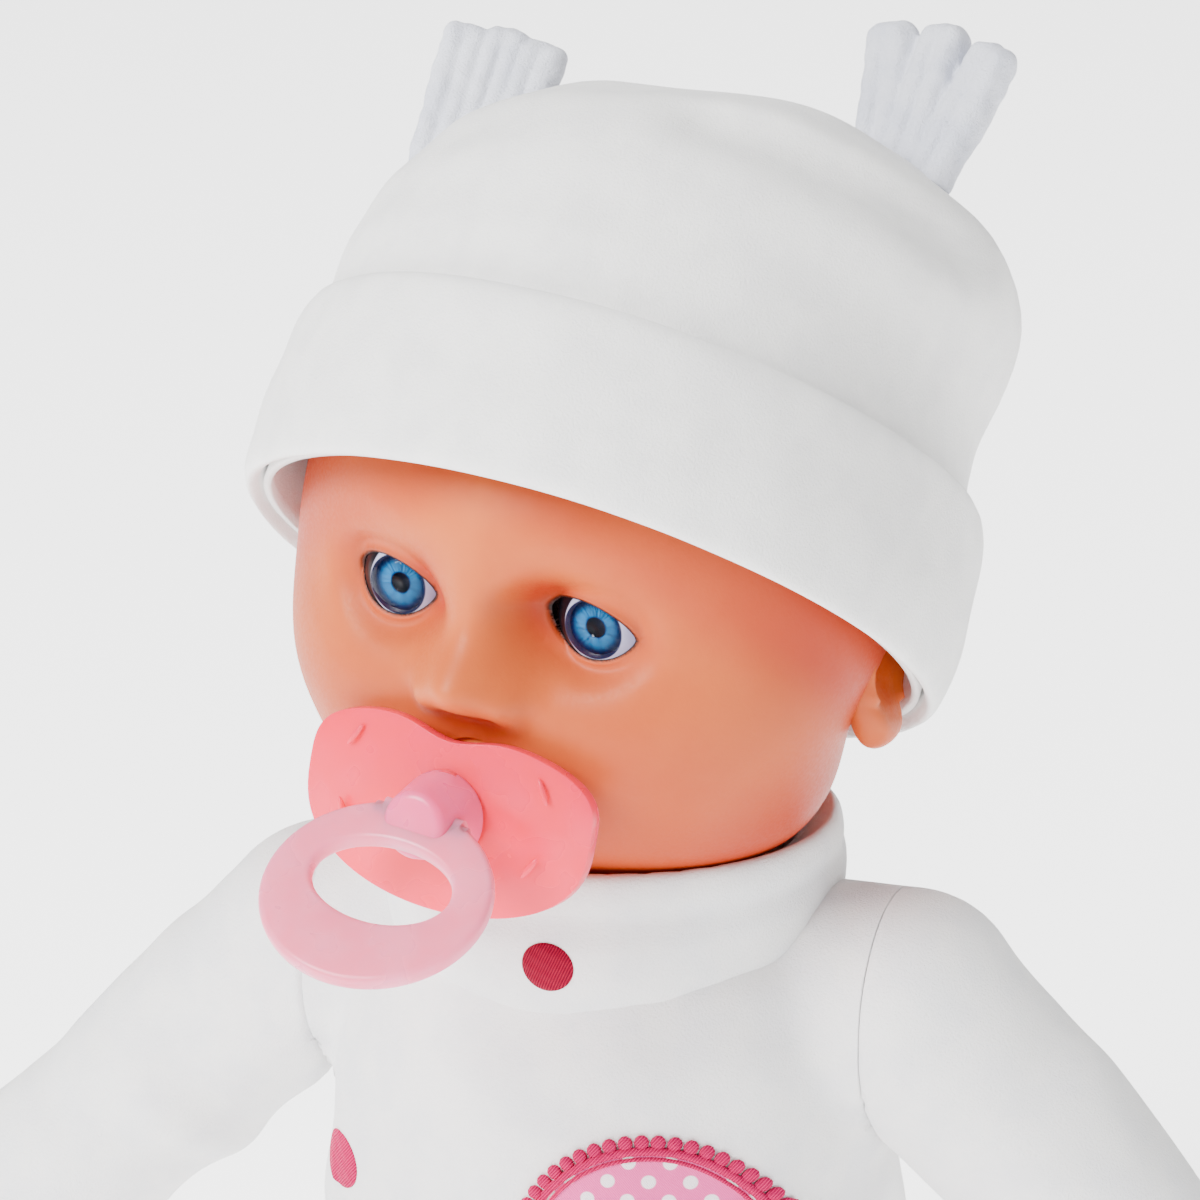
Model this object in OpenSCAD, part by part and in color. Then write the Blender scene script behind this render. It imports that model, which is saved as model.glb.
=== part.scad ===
// Seated soft-bodied baby doll with a vinyl head, a tummy sound module and a pull-out pacifier.
// The origin is on the floor under the torso. The torso faces -Y and the doll's left hand is at +X.

/* [Body] */
// Height of the collar seam above the floor
collar_z = 120; // [114:1:126]
// Width of the stuffed body at the belly
body_w = 94; // [88:1:94]
// Depth of the stuffed body at the belly
body_d = 78; // [74:1:86]
// Thickness of the velour suit
suit_t = 1.5; // [1:0.1:1.5]
// Height of the collar band
collar_h = 7; // [6:0.5:8]
// Radius of the collar at its seam
collar_r = 35; // [33:0.5:36]
// How far the collar dips towards the front, in degrees
collar_dip = 8; // [6:1:10]
// Width of an embroidered dot
dot_d = 9; // [6:0.5:11]
// Width of the round chest patch
patch_d = 46; // [36:1:48]

/* [Head] */
// Width of the head
head_w = 102; // [99:1:103]
// Depth of the head
head_l = 86; // [84:1:90]
// Height of the eyes above the collar seam
eye_rise = 59; // [58.5:0.5:64]
// Turn of the head towards the doll's right, in degrees
head_turn = 8; // [0:0.5:20]
// Lean of the head towards the doll's left, in degrees
head_lean = 3; // [0:0.5:3]
// Distance between the eye centres
eye_gap = 35; // [33:0.5:37]
// Diameter of an eyeball
eye_d = 18; // [17:0.5:18.5]
// Width of an eye opening
eye_open_w = 14.5; // [12:0.5:15]
// Height of an eye opening
eye_open_h = 10; // [8:0.5:11]
// Diameter of an iris
iris_d = 9.4; // [8:0.2:10]
// Diameter of the neck
neck_d = 42; // [38:1:44]
// Diameter of the neck flange
neck_flange_d = 52; // [50:1:54]

/* [Hat] */
// Tilt of the brim, front edge up, in degrees
hat_tilt = 36; // [33:0.5:37]
// Height of the turned-up brim
brim_h = 30; // [24:1:32]
// Thickness of the rolled brim
brim_t = 5; // [4:0.5:7]
// Thickness of the crown fabric
hat_t = 1.5; // [1:0.1:2.2]
// Length of a tassel loop
tassel_l = 22; // [16:1:26]
// Loops in each tassel
tassel_n = 4; // [2:1:4]

/* [Arms and legs] */
// Length of the stuffed arm from shoulder to wrist
arm_l = 80; // [72:1:86]
// Diameter of the sleeve at the shoulder
sleeve_d = 39; // [35:1:40]
// Diameter of the sleeve at the cuff
cuff_d = 31; // [30:1:33]
// Slope of each arm below level, in degrees
arm_slope = 44; // [40:1:50]
// Diameter of the vinyl wrist
wrist_d = 19; // [17:0.5:20]
// Length of the stuffed leg from hip to ankle
leg_l = 100; // [90:1:108]
// Diameter of the trouser leg at the hip
thigh_d = 47; // [44:1:48]
// Diameter of the trouser leg at the ankle
ankle_d = 33; // [30:1:35]
// Splay of each leg from straight ahead, in degrees
leg_splay = 22; // [16:1:24]
// Length of a footed bootie
foot_l = 56; // [48:1:60]

/* [Pacifier] */
// Width of the shield
shield_w = 54; // [48:1:56]
// Height of the shield
shield_h = 31; // [27:1:33]
// Thickness of the shield
shield_t = 2.2; // [1.8:0.1:2.6]
// Diameter of the teat
teat_d = 11.6; // [10:0.2:12]
// Length of the teat behind the shield
teat_l = 19; // [17:0.5:21]
// Diameter of the round pull ring
ring_d = 38; // [34:1:40]
// Thickness of the ring
ring_t = 3; // [2.4:0.1:3.2]
// Width of the hole in the ring
ring_hole_w = 24; // [20:0.5:25]
// Droop of the ring below level, in degrees
ring_droop = 34; // [20:1:40]
// Diameter of the ring's hinge bar
pin_d = 2.8; // [2.4:0.1:2.8]

/* [Sound module] */
// Width of the module's case
case_w = 60; // [58:1:62]
// Height of the module's case
case_h = 46; // [44:1:48]
// Depth of the module's case
case_d = 24; // [23:0.5:25]
// Wall of the module's case
case_t = 1.8; // [1.5:0.1:2.1]
// Diameter of the speaker
speaker_d = 28; // [24:1:28]
// Diameter of the tummy button
button_d = 16; // [13:0.5:17]
// Travel of the tummy button
button_travel = 2; // [1.5:0.1:2.5]
// Diameter of a button cell
cell_d = 11.6; // [11:0.1:12]
// Height of a button cell
cell_h = 5.4; // [5:0.1:5.6]

/* [Hidden] */

gap = 0.3;      // clearance between pieces that move or lie loosely
fit = 0.1;      // clearance between pieces that are held together
far = 300;      // longer than anything on the doll

white = [0.93, 0.93, 0.94];
stuffing = [0.96, 0.88, 0.82];
skin = [0.90, 0.64, 0.52];
pink = [0.97, 0.56, 0.66];
crimson = [0.80, 0.12, 0.36];
steel = [0.75, 0.76, 0.78];
dark = [0.16, 0.17, 0.20];

module side(s) { mirror([s < 0 ? 1 : 0, 0, 0]) children(); }

// ---------- shared forms ----------

// Direction at an angle round from the front and an angle up
function ray(az, el) = [cos(el) * sin(az), -cos(el) * cos(az), sin(el)];

// Faces between stacked closed rings of n points, where first is the first ring's first point
function band_faces(n, rings, first) =
    [for (i = [0 : rings - 2], j = [0 : n - 1], half = [0, 1])
        let (a = first + i * n + j, b = first + i * n + (j + 1) % n)
        half == 0 ? [a, a + n, b] : [b, a + n, b + n]];

// Closed solid through a list of flat rings that each have the same number of points
module loft(rings) {
    n = len(rings[0]);
    last = (len(rings) - 1) * n;
    polyhedron([for (ring = rings) each ring],
               concat([[for (j = [0 : n - 1]) j]],
                      band_faces(n, len(rings), 0),
                      [[for (j = [n - 1 : -1 : 0]) last + j]]));
}

// Level outline, a little squarer than an ellipse
function level_ring(hw, hd, yc, z, n) =
    [for (j = [0 : n - 1])
        let (d = ray(360 * j / n, 0))
        [hw * sign(d.x) * pow(abs(d.x), 0.85), yc + hd * sign(d.y) * pow(abs(d.y), 0.85), z]];

// Round tube through a list of points, with k sides; all its points lie in planes across X
module sweep_yz(route, r, k) {
    n = len(route);
    function ahead(i) = let (v = route[min(i + 1, n - 1)] - route[max(i - 1, 0)]) v / norm(v);
    loft([for (i = [0 : n - 1])
        let (v = ahead(i))
        [for (j = [0 : k - 1])
            route[i] + r * (cos(360 * j / k) * [1, 0, 0] + sin(360 * j / k) * cross(v, [1, 0, 0]))]]);
}

// ---------- legs, which the torso is cut to clear ----------

hip = [27, -12, thigh_d / 2 + 0.2];             // centre of the left hip
hip_lift = 8;                                   // how far a leg lifts from where it lies
hip_inner = hip.x - thigh_d / 2;                // inner end of the leg's root
hip_outer = body_w / 2 - 1.5;                   // its outer end
heel_r = ankle_d / 2 + 1;
leg_drop = asin((hip.z - heel_r - 0.2) / leg_l); // slope that brings the heel to the floor
foot_t = 26;                                    // thickness of a foot
foot_w = 31;                                    // width of a foot

module at_leg(s) {
    side(s) translate(hip) rotate([0, 0, leg_splay]) rotate([90 + leg_drop, 0, 0]) children();
}

// Trouser leg with its bootie, and the root that turns in the torso
module leg_form(s, grow) {
    root_r = thigh_d / 2 + grow;
    side(s) translate([0, hip.y, hip.z]) rotate([0, 90, 0]) rotate_extrude($fn = 72)
        polygon([[0, hip_inner - grow], [root_r * 0.8, hip_inner - grow], [root_r, hip_inner + root_r * 0.2],
                 [root_r, hip_outer - root_r * 0.25], [root_r * 0.75, hip_outer + grow],
                 [0, hip_outer + grow]]);
    at_leg(s) {
        cylinder(r1 = root_r - 0.7, r2 = ankle_d / 2 + grow, h = leg_l, $fn = 72);
        translate([0, 0, leg_l]) sphere(heel_r + grow, $fn = 48);
        translate([0, foot_l / 2 - heel_r + 3, leg_l + 5])
            scale([foot_w / 2 + grow, foot_l / 2 + grow, foot_t / 2 + grow] / foot_l * 2)
            sphere(foot_l / 2, $fn = 48);
    }
}

// Room that the left leg's root and thigh sweep as the leg turns about its hip
module hip_room(s) {
    r = thigh_d / 2 + gap;
    over = r + 0.5;
    up = [sin(hip_lift), cos(hip_lift)];
    ahead = [-cos(hip_lift), sin(hip_lift)];
    side(s) translate([hip_inner - gap, hip.y, hip.z]) rotate([90, 0, 90]) linear_extrude(far) {
        circle(r, $fn = 96);
        polygon([[0, 0], over * up, over * up + far * ahead, [-far, -far], [over, -far], [over, 0]]);
    }
}

module leg_body(s) { color(stuffing) leg_form(s, -suit_t - fit); }

module suit_leg(s) {
    color(white) difference() {
        leg_form(s, 0);
        leg_form(s, -suit_t);
    }
}

// ---------- torso ----------

body_top = collar_z + 1;
shoulder = [51, 0, collar_z - 15.5];            // centre of the left shoulder
armhole_x = 48.5;                               // where the sleeve seam stands
torso_n = 28;
// Share of the height, share of the half-width, share of the half-depth, and how far back
torso_stations = [[0, 0.72, 0.50, 14], [0.05, 0.86, 0.68, 10], [0.14, 0.94, 0.84, 6], [0.28, 0.99, 0.96, 2],
                  [0.45, 1.00, 1.00, 0], [0.66, 0.97, 0.97, 0], [0.82, 0.93, 0.92, 0], [0.93, 0.84, 0.86, 1],
                  [1.00, 0.66, 0.78, 4]];

// Stuffed body, grown all round; its underside is flat
module torso_form(grow) {
    loft([for (s = torso_stations)
        level_ring(body_w / 2 * s[1] + grow, body_d / 2 * s[2] + grow, s[3],
                   s[0] == 0 ? suit_t - grow : s[0] == 1 ? body_top + grow : s[0] * body_top, torso_n)]);
}

// Rounded beam through both shoulders, which fills the yoke out to the armholes
module shoulder_beam(grow) {
    r = sleeve_d / 2 - suit_t + grow;
    half = armhole_x - gap / 2;
    translate([0, shoulder.y, shoulder.z]) rotate([0, 90, 0]) rotate_extrude($fn = 72)
        polygon([[0, -half], [r - 0.6, -half], [r, -half * 0.8],
                 [r, half * 0.8], [r - 0.6, half], [0, half]]);
}

neck_bore_r = neck_d / 2 + gap;
neck_cloth_t = 2;
neck_top = collar_z + 7;                        // where the cloth neck ends
flange_t = 3;
flange_z = collar_z - 6;                        // underside of the neck flange
module_y = 5;                                   // front face of the sound module
module_z = hip.z + thigh_d / 2 + 3 + case_h / 2; // height of its centre
button_x = -case_w / 2 + 14;                    // middle of the tummy button
button_z = module_z + 8;
lead_r = 1.2;
lead_bore_r = 2.2;
lead_in = 4;                                    // how far behind the module's face the lead enters

module torso_body() {
    color(stuffing) difference() {
        union() {
            torso_form(0);
            shoulder_beam(-fit);
            translate([0, 0, body_top - 4])
                cylinder(r = neck_bore_r + neck_cloth_t, h = neck_top - body_top + 4, $fn = 72);
        }
        for (s = [1, -1]) hip_room(s);
        translate([0, 0, flange_z]) cylinder(r = neck_bore_r, h = far, $fn = 72);
        translate([0, 0, flange_z - gap])
            cylinder(r = neck_flange_d / 2 + gap, h = flange_t + 2 * gap, $fn = 72);
        translate([0, 0, module_z]) cylinder(r = lead_bore_r, h = far, $fn = 24);
        translate([-lead_bore_r, 0, module_z + case_h / 2])
            cube([2 * lead_bore_r, module_y + lead_in + lead_bore_r, 12]);
        // pocket for the sound module, open at the back
        translate([-case_w / 2 - gap, module_y - gap, module_z - case_h / 2 - gap])
            cube([case_w + 2 * gap, far, case_h + 2 * gap]);
        translate([button_x, module_y, button_z]) rotate([90, 0, 0])
            cylinder(d = button_d + 2 * gap, h = button_proud + 2 * gap, $fn = 48);
    }
}

module suit_torso() {
    color(white) difference() {
        union() {
            torso_form(suit_t);
            shoulder_beam(suit_t);
        }
        torso_form(fit / 2);
        shoulder_beam(0);
        for (s = [1, -1]) hip_room(s);
        translate([0, 0, collar_z - 6]) cylinder(r = collar_r - 5, h = far, $fn = 72);
    }
}

// Outside of the suit, grown by a little so that what is sewn on lies against it
module suit_outside(grow) {
    torso_form(suit_t + grow);
    shoulder_beam(suit_t + grow);
}

module at_collar() { translate([0, 0, collar_z + 0.5]) rotate([collar_dip, 0, 0]) children(); }

module suit_collar() {
    color(white) difference() {
        at_collar() rotate_extrude($fn = 96)
            polygon([[collar_r - 1.8, -9], [collar_r, -9], [collar_r, 0], [collar_r - 0.8, collar_h / 2],
                     [collar_r - 2.4, collar_h - 0.8], [collar_r - 3.2, collar_h],
                     [collar_r - 4.2, collar_h - 0.8], [collar_r - 2.8, collar_h / 2], [collar_r - 1.8, 0]]);
        suit_outside(fit);
    }
}

patch_t = 1;
patch_x = 19;
patch_z = collar_z - 52;
patch_scallops = 36;

// Front of the suit between two depths, cut to an outline in X and Z
module sewn_on(thick) {
    intersection() {
        difference() {
            torso_form(suit_t + thick);
            torso_form(suit_t + fit);
        }
        rotate([90, 0, 0]) linear_extrude(far) children();
    }
}

module suit_patch() {
    color(pink) sewn_on(patch_t) translate([patch_x, patch_z])
        polygon([for (i = [0 : 4 * patch_scallops - 1])
            let (a = 90 * i / patch_scallops, r = patch_d / 2 - 0.9 + 0.9 * abs(cos(2 * 90 * (i % 4) / 4)))
            r * [cos(a), sin(a)]]);
}

chest_dot = [-37, collar_z - 44];

// One dot on the collar band and one on the chest
module suit_dots() {
    color(crimson) {
        sewn_on(patch_t * 0.6) translate(chest_dot) circle(d = dot_d, $fn = 48);
        at_collar() intersection() {
            rotate_extrude($fn = 96) translate([collar_r + fit, -1]) square([0.8, collar_h]);
            translate([0, 0, collar_h / 2 - 0.5]) rotate([90, 0, 0])
                cylinder(d = dot_d - 1, h = far, $fn = 48);
        }
    }
}

module suit_back_strip() {
    color(white) intersection() {
        difference() {
            torso_form(suit_t + patch_t);
            torso_form(suit_t + fit);
        }
        translate([-9, 0, 26]) cube([18, far, collar_z - 46]);
    }
}

module neck_tie() {
    color(white) translate([0, 0, neck_top - 3.5]) rotate_extrude($fn = 72)
        translate([neck_bore_r + neck_cloth_t + fit, 0]) square([1.2, 3]);
}

// ---------- head ----------

// Places a piece from the head's own frame: its origin is between the eyes and over the neck, face to -Y
module in_head() {
    on_neck() translate([0, 0, collar_z + eye_rise]) rotate([0, head_lean, 0]) children();
}
// Places a piece from a frame on the neck's axis
module on_neck() { rotate([0, 0, -head_turn]) children(); }

head_mid = [0, -4, -2];                         // middle of the head in its own frame
head_up = 58;                                   // from there to the crown
head_down = 49;                                 // from there to the underside
// Rises and hollows: angle round, angle up, spread round, spread up, height
face_forms = [[0, -8, 6.5, 9, 8.5],      // nose
              [0, 4, 6, 10, 1.5],        // bridge
              [9, -13, 4.5, 5, 2.4],     // nostrils
              [24, 2, 11, 8, -2.4],      // eye hollows
              [55, -20, 30, 15, 3],      // cheeks
              [0, -42, 18, 11, 2],       // chin
              [18, 22, 26, 12, 1.5],     // forehead
              [180, -50, 60, 14, -1]];   // nape

function bump(f, az, el) =
    let (here = exp(-pow((az - f[0]) / f[2], 2)), there = exp(-pow((az + f[0]) / f[2], 2)))
    f[4] * exp(-pow((el - f[1]) / f[3], 2)) * (f[0] == 0 ? here : here + there);
function sum(v, i = 0) = i == len(v) ? 0 : v[i] + sum(v, i + 1);
// Distance from the head's middle to its surface
function head_reach(az, el) =
    let (d = ray(az, el), low = d.z < 0, power = low ? 3 : 2,
         level = norm([d.x / (head_w / 2), d.y / (head_l / 2)]),
         up = abs(d.z) / (low ? head_down : head_up))
    1 / pow(pow(level, power) + pow(up, power), 1 / power) + sum([for (f = face_forms) bump(f, az, el)]);

head_n = 52;
head_rows = 32;
// Angles round are closer together at the face
function face_angle(j) = let (a = 360 * j / head_n - 180) a - 28 * sin(a);

module head_outside() {
    mid = [for (i = [1 : head_rows - 1], j = [0 : head_n - 1])
        let (az = face_angle(j), el = -90 + 180 * i / head_rows)
        head_mid + head_reach(az, el) * ray(az, el)];
    last = len(mid) + 1;
    polyhedron(concat([head_mid - [0, 0, head_reach(0, -90)]], mid, [head_mid + [0, 0, head_reach(0, 90)]]),
               concat([for (j = [0 : head_n - 1]) [0, 1 + j, 1 + (j + 1) % head_n]],
                      band_faces(head_n, head_rows - 1, 1),
                      [for (j = [0 : head_n - 1])
                          [last, last - head_n + (j + 1) % head_n, last - head_n + j]]));
}

face_y = head_mid.y - head_l / 2;               // front of the head
eye_at = [eye_gap / 2, face_y + 14.5, 0];       // middle of the left eyeball
socket_t = 2;
mouth_at = [0, face_y + 1.5, -28.5];            // where the mouth opens in the face
mouth_pitch = 8;                                // the shield's face looks up a little
cup_t = 1.3;
head_t = 4;                                     // wall of the head
cavity_rise = 7;                                // the hollow's middle, above the head's
cup_r = teat_d / 2 + gap + cup_t;
cup_l = teat_l + 1;                             // from the face to the cup's outer end

// Frame of the mouth: +Z points out of it
module at_mouth() { in_head() translate(mouth_at) rotate([90 - mouth_pitch, 0, 0]) children(); }

// Frame of the pacifier, which sits a little askew in the mouth
module at_pacifier() { at_mouth() rotate([0, 0, -4]) children(); }

module ear(s) {
    side(s) translate([head_w / 2 - 2.5, 2.5, -11]) rotate([-14, 0, -6]) difference() {
        scale([3, 8.5, 15]) sphere(1, $fn = 40);
        translate([3.6, -1, 3]) scale([2.6, 4.6, 8.5]) sphere(1, $fn = 40);
    }
}

module head_shell() {
    color(skin) difference() {
        union() {
            in_head() {
                head_outside();
                for (s = [1, -1]) ear(s);
            }
            translate([0, 0, flange_z]) cylinder(d = neck_flange_d, h = flange_t, $fn = 72);
            translate([0, 0, flange_z]) cylinder(d = neck_d, h = 26, $fn = 72);
        }
        difference() {
            in_head() translate(head_mid + [0, 0, cavity_rise])
                scale([head_w / 2 - head_t, head_l / 2 - head_t, head_up - head_t - cavity_rise + 1.5])
                sphere(1, $fn = 64);
            in_head() for (s = [1, -1])
                side(s) translate(eye_at) sphere(eye_d / 2 + fit + socket_t, $fn = 48);
            at_mouth() translate([0, 0, -cup_l]) cylinder(r = cup_r + 2, h = cup_l + 9, $fn = 48);
        }
        in_head() for (s = [1, -1]) side(s) translate(eye_at) {
            sphere(eye_d / 2 + fit, $fn = 48);
            rotate([90, 0, 8]) scale([1, eye_open_h / eye_open_w, 1])
                cylinder(d = eye_open_w, h = 20, $fn = 48);
            rotate([-90, 0, 0]) cylinder(d = eye_d - 5, h = 14, $fn = 48);
        }
        at_mouth() translate([0, 0, -cup_l - 2]) cylinder(r = cup_r + fit, h = cup_l + 20, $fn = 48);
        translate([0, 0, flange_z - 1]) cylinder(d = neck_d - 6, h = 28, $fn = 72);
    }
}

plug_t = 2;                                     // thickness of the plug in the neck

module neck_plug() {
    color(white) on_neck() difference() {
        translate([0, 0, flange_z + 0.5]) cylinder(d = neck_d - 6 - 2 * fit, h = plug_t, $fn = 72);
        translate([0, 0, flange_z]) cylinder(r = lead_r + fit, h = 8, $fn = 24);
    }
}

iris_t = 0.8;
// From the eyeball's middle to its front flat
iris_flat = sqrt(pow(eye_d / 2, 2) - pow(iris_d / 2 + 0.5, 2));

module at_eye(s) { in_head() side(s) translate(eye_at) rotate([90, 0, 0]) children(); }

module eye_ball(s) {
    color("white") at_eye(s) difference() {
        sphere(eye_d / 2, $fn = 48);
        translate([0, 0, iris_flat]) cylinder(d = eye_d, h = 10, $fn = 48);
        translate([0, 0, iris_flat - iris_t - fit]) cylinder(d = iris_d + 2 * fit, h = 10, $fn = 48);
    }
}

module eye_iris(s) {
    color([0.25, 0.45, 0.75]) at_eye(s)
        translate([0, 0, iris_flat - iris_t]) cylinder(d = iris_d, h = iris_t, $fn = 48);
}

module eye_lens(s) {
    color([0.8, 0.9, 1]) at_eye(s) intersection() {
        sphere(eye_d / 2, $fn = 48);
        translate([0, 0, iris_flat + fit]) cylinder(d = eye_d, h = 10, $fn = 48);
    }
}

module mouth_cup() {
    color(skin) at_mouth() difference() {
        translate([0, 0, -cup_l]) cylinder(r = cup_r, h = cup_l - 0.5, $fn = 48);
        translate([0, 0, -cup_l + cup_t]) cylinder(r = cup_r - cup_t, h = cup_l, $fn = 48);
    }
}

module mouth_sensor() {
    color(dark) at_mouth() translate([-5, -2, -cup_l - 2.5 - fit]) cube([10, 4, 2.5]);
}

// The wire from the mouth turns with the head, down to where it meets its foot on the neck's axis
lead_join = collar_z - 13;
lead_route = [[0, 0, lead_join], [0, 0, collar_z - 7], [0, 0, collar_z + 2], [0, -1, collar_z + 8],
              [0, -5, collar_z + 15], [0, -11, collar_z + 21], [0, -17, collar_z + 24.8],
              [0, -22.6, collar_z + 26.6]];

module sensor_lead() { color(crimson) on_neck() sweep_yz(lead_route, lead_r, 8); }

// Lower length of the wire, which stays still, out of the module's top
lead_start = module_z + case_h / 2 + fit;
lead_foot_y = module_y + lead_in;
lead_foot_route = [[0, lead_foot_y, lead_start], [0, lead_foot_y, lead_start + 1.5],
                   [0, lead_foot_y / 2, lead_start + 5.5], [0, 0, lead_join - 1.5], [0, 0, lead_join - fit]];

module sensor_lead_foot() { color(crimson) sweep_yz(lead_foot_route, lead_r, 8); }

// ---------- hat ----------

// Middle of the brim's lower edge in the head's frame
hat_at = head_mid - 6.5 * [0, sin(hat_tilt), cos(hat_tilt)];
hat_r = head_w / 2 + 3.2;                       // inside of the crown, beside the ears
hat_high = 79;                                  // from the brim's lower edge to the top

module in_hat() { in_head() translate(hat_at) rotate([-hat_tilt, 0, 0]) children(); }

// Side of the crown, from the brim up to the top, drawn in by t
function crown_line(t) =
    [[hat_r + hat_t - t, 0], [hat_r + hat_t - t, 40], [hat_r - 1 - t, 53], [hat_r - 8 - t, 66],
     [hat_r - 21 - t * 0.8, hat_high - 5 - t * 0.6], [hat_r - 37 - t * 0.4, hat_high - 1 - t],
     [0, hat_high - t]];

module hat_crown() {
    outer = crown_line(0);
    inner = crown_line(hat_t);
    color(white) in_hat() rotate_extrude($fn = 96)
        polygon(concat(outer, [for (i = [len(inner) - 1 : -1 : 0]) inner[i]]));
}

module hat_brim() {
    r = hat_r + hat_t + fit;
    color(white) in_hat() rotate_extrude($fn = 96)
        polygon([[r, 0], [r + brim_t * 0.4, -2], [r + brim_t * 0.8, -1], [r + brim_t, 3],
                 [r + brim_t, brim_h - 5], [r + brim_t * 0.75, brim_h - 1.4], [r + brim_t * 0.35, brim_h],
                 [r, brim_h - 2]]);
}

// How far out on the crown a tassel is sewn, and how far round to the front, in degrees
function tassel_out(s) = s > 0 ? 35 : 42;
function tassel_round(s) = s > 0 ? 8 : 13;
tassel_w = 18;                                  // width of a tassel at its root
tassel_t = 8;                                   // thickness of its folded strips
tassel_fan = 6;                                 // angle between neighbouring strips, in degrees

// Outline of a tassel across the crown: its root follows the crown, and each strip ends in a fold
module tassel_outline(out) {
    line = crown_line(-fit);
    heights = [for (i = [len(line) - 1 : -1 : 1]) line[i]];
    from = out - tassel_w / 2;
    to = out + tassel_w / 2;
    function lean(i) = (i - (tassel_n - 1) / 2) * tassel_fan;
    function fold(i) = [out + (i - (tassel_n - 1) / 2) * tassel_w / (tassel_n + 0.4), lookup(out, heights)]
        + tassel_l * [sin(lean(i)), cos(lean(i))];
    r = 0.48 * (tassel_n > 1 ? norm(fold(1) - fold(0)) : tassel_w);
    polygon(concat([[from, lookup(from, heights)]],
                   [for (p = heights) if (p.x > from + 0.1 && p.x < to - 0.1) p],
                   [[to, lookup(to, heights)]],
                   [for (i = [tassel_n - 1 : -1 : 0], a = [0 : 30 : 180])
                       fold(i) + r * [cos(a - lean(i)), sin(a - lean(i))]]));
}

module hat_tassel(s) {
    color(white) in_hat() side(s) rotate([0, 0, -tassel_round(s)]) rotate([90, 0, 0])
        translate([0, 0, -tassel_t / 2]) linear_extrude(tassel_t) tassel_outline(tassel_out(s));
}

// ---------- pacifier ----------

shield_z = 6.6;                                 // back of the shield's middle, out from the mouth
shield_bow = 75;                                // radius to which the shield curves round the face
hub_l = 9;                                      // from the shield's front to the end of the hub
hinge_z = shield_z + shield_t + hub_l - 3.2;
hinge_y = -4;
hub_r1 = 7.5;                                   // radius of the hub at the shield
hub_r2 = 5.2;                                   // radius of the hub at its end

// Outline of the butterfly shield
function shield_point(a) =
    let (x = cos(a), y = sin(a))
    [shield_w / 2 * x,
     y > 0 ? shield_h / 2 * (pow(y, 0.75) - 0.5 * exp(-pow(x / 0.28, 2))) : -shield_h / 2 * pow(-y, 0.7)];

module shield_vent(x, y, a) {
    translate([x, y, 0]) rotate([0, 0, a]) translate([-2.2, -0.7, 0]) cube([4.4, 1.4, 30]);
}

module pacifier_shield() {
    color(pink) at_pacifier() difference() {
        union() {
            intersection() {
                translate([0, 0, shield_z + shield_t - shield_bow]) difference() {
                    sphere(shield_bow, $fn = 128);
                    sphere(shield_bow - shield_t, $fn = 128);
                }
                linear_extrude(40) polygon([for (i = [0 : 55]) shield_point(360 * i / 56)]);
            }
            translate([0, hinge_y, shield_z + 0.4])
                cylinder(r1 = hub_r1, r2 = hub_r2, h = shield_t + hub_l - 0.4, $fn = 48);
        }
        // bore for the ring's bar
        translate([-20, hinge_y, hinge_z]) rotate([0, 90, 0])
            cylinder(d = pin_d + 2 * fit, h = 40, $fn = 32);
        translate([0, 0, -1]) cylinder(r = teat_stem_r + fit, h = shield_z + shield_t + 1 + 0.6, $fn = 32);
        for (s = [1, -1]) {
            shield_vent(s * 18, 6, s * 60);
            shield_vent(s * 18, -6.5, s * -60);
        }
    }
}

teat_stem_r = 3.4;
magnet_d = 5;
magnet_l = 4;

module pacifier_teat() {
    color(pink) at_pacifier() difference() {
        union() {
            cylinder(r = teat_stem_r, h = shield_z + shield_t, $fn = 32);
            translate([0, 0, -teat_l + teat_d / 2])
                cylinder(d = teat_d - 0.4, h = teat_l - teat_d / 2 + 1, $fn = 48);
            translate([0, 0, -teat_l + teat_d / 2 + 0.8]) sphere(d = teat_d, $fn = 48);
        }
        translate([0, 0, -teat_l + 2.4]) cylinder(d = magnet_d + 2 * fit, h = teat_l + 20, $fn = 32);
    }
}

module pacifier_magnet() {
    color(steel) at_pacifier() translate([0, 0, -teat_l + 2.4 + fit])
        cylinder(d = magnet_d, h = magnet_l, $fn = 32);
}

ring_hole_h = 16.5;                             // height of the hole in the ring
ring_hole_reach = 14;                           // from the hinge to the hole's middle
ring_reach = ring_d / 2 - 2.5;                  // from the hinge to the ring's middle
ring_slot = 2 * hub_r2 + 2.8;                   // gap in the band where the bar crosses the hub

// Flat ring whose bar lies through the hub
module pacifier_ring() {
    color(pink)
    at_pacifier() translate([0, hinge_y, hinge_z]) rotate([90 + ring_droop + mouth_pitch, 0, 0]) {
        difference() {
            translate([0, ring_reach, -ring_t / 2]) cylinder(d = ring_d, h = ring_t, $fn = 72);
            translate([0, ring_hole_reach, -10]) scale([1, ring_hole_h / ring_hole_w, 1])
                cylinder(d = ring_hole_w, h = 20, $fn = 72);
            translate([-ring_slot / 2, -ring_d / 2, -10]) cube([ring_slot, ring_d / 2 + 10, 20]);
        }
        translate([-ring_slot / 2 - 1.5, 0, 0]) rotate([0, 90, 0])
            cylinder(d = pin_d, h = ring_slot + 3, $fn = 32);
    }
}

// ---------- arms and hands ----------

// Frame of an arm: +Z runs from the shoulder to the hand, +X towards the body
module at_arm(s) { side(s) translate(shoulder) rotate([0, 90 + arm_slope, 0]) children(); }

module arm_form(s, grow, long) {
    intersection() {
        at_arm(s) {
            sphere(sleeve_d / 2 + grow, $fn = 64);
            cylinder(r1 = sleeve_d / 2 + grow - 0.5, r2 = cuff_d / 2 + grow, h = long, $fn = 64);
        }
        side(s) translate([armhole_x + gap / 2, -far / 2, -far / 2]) cube(far);
    }
}

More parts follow.
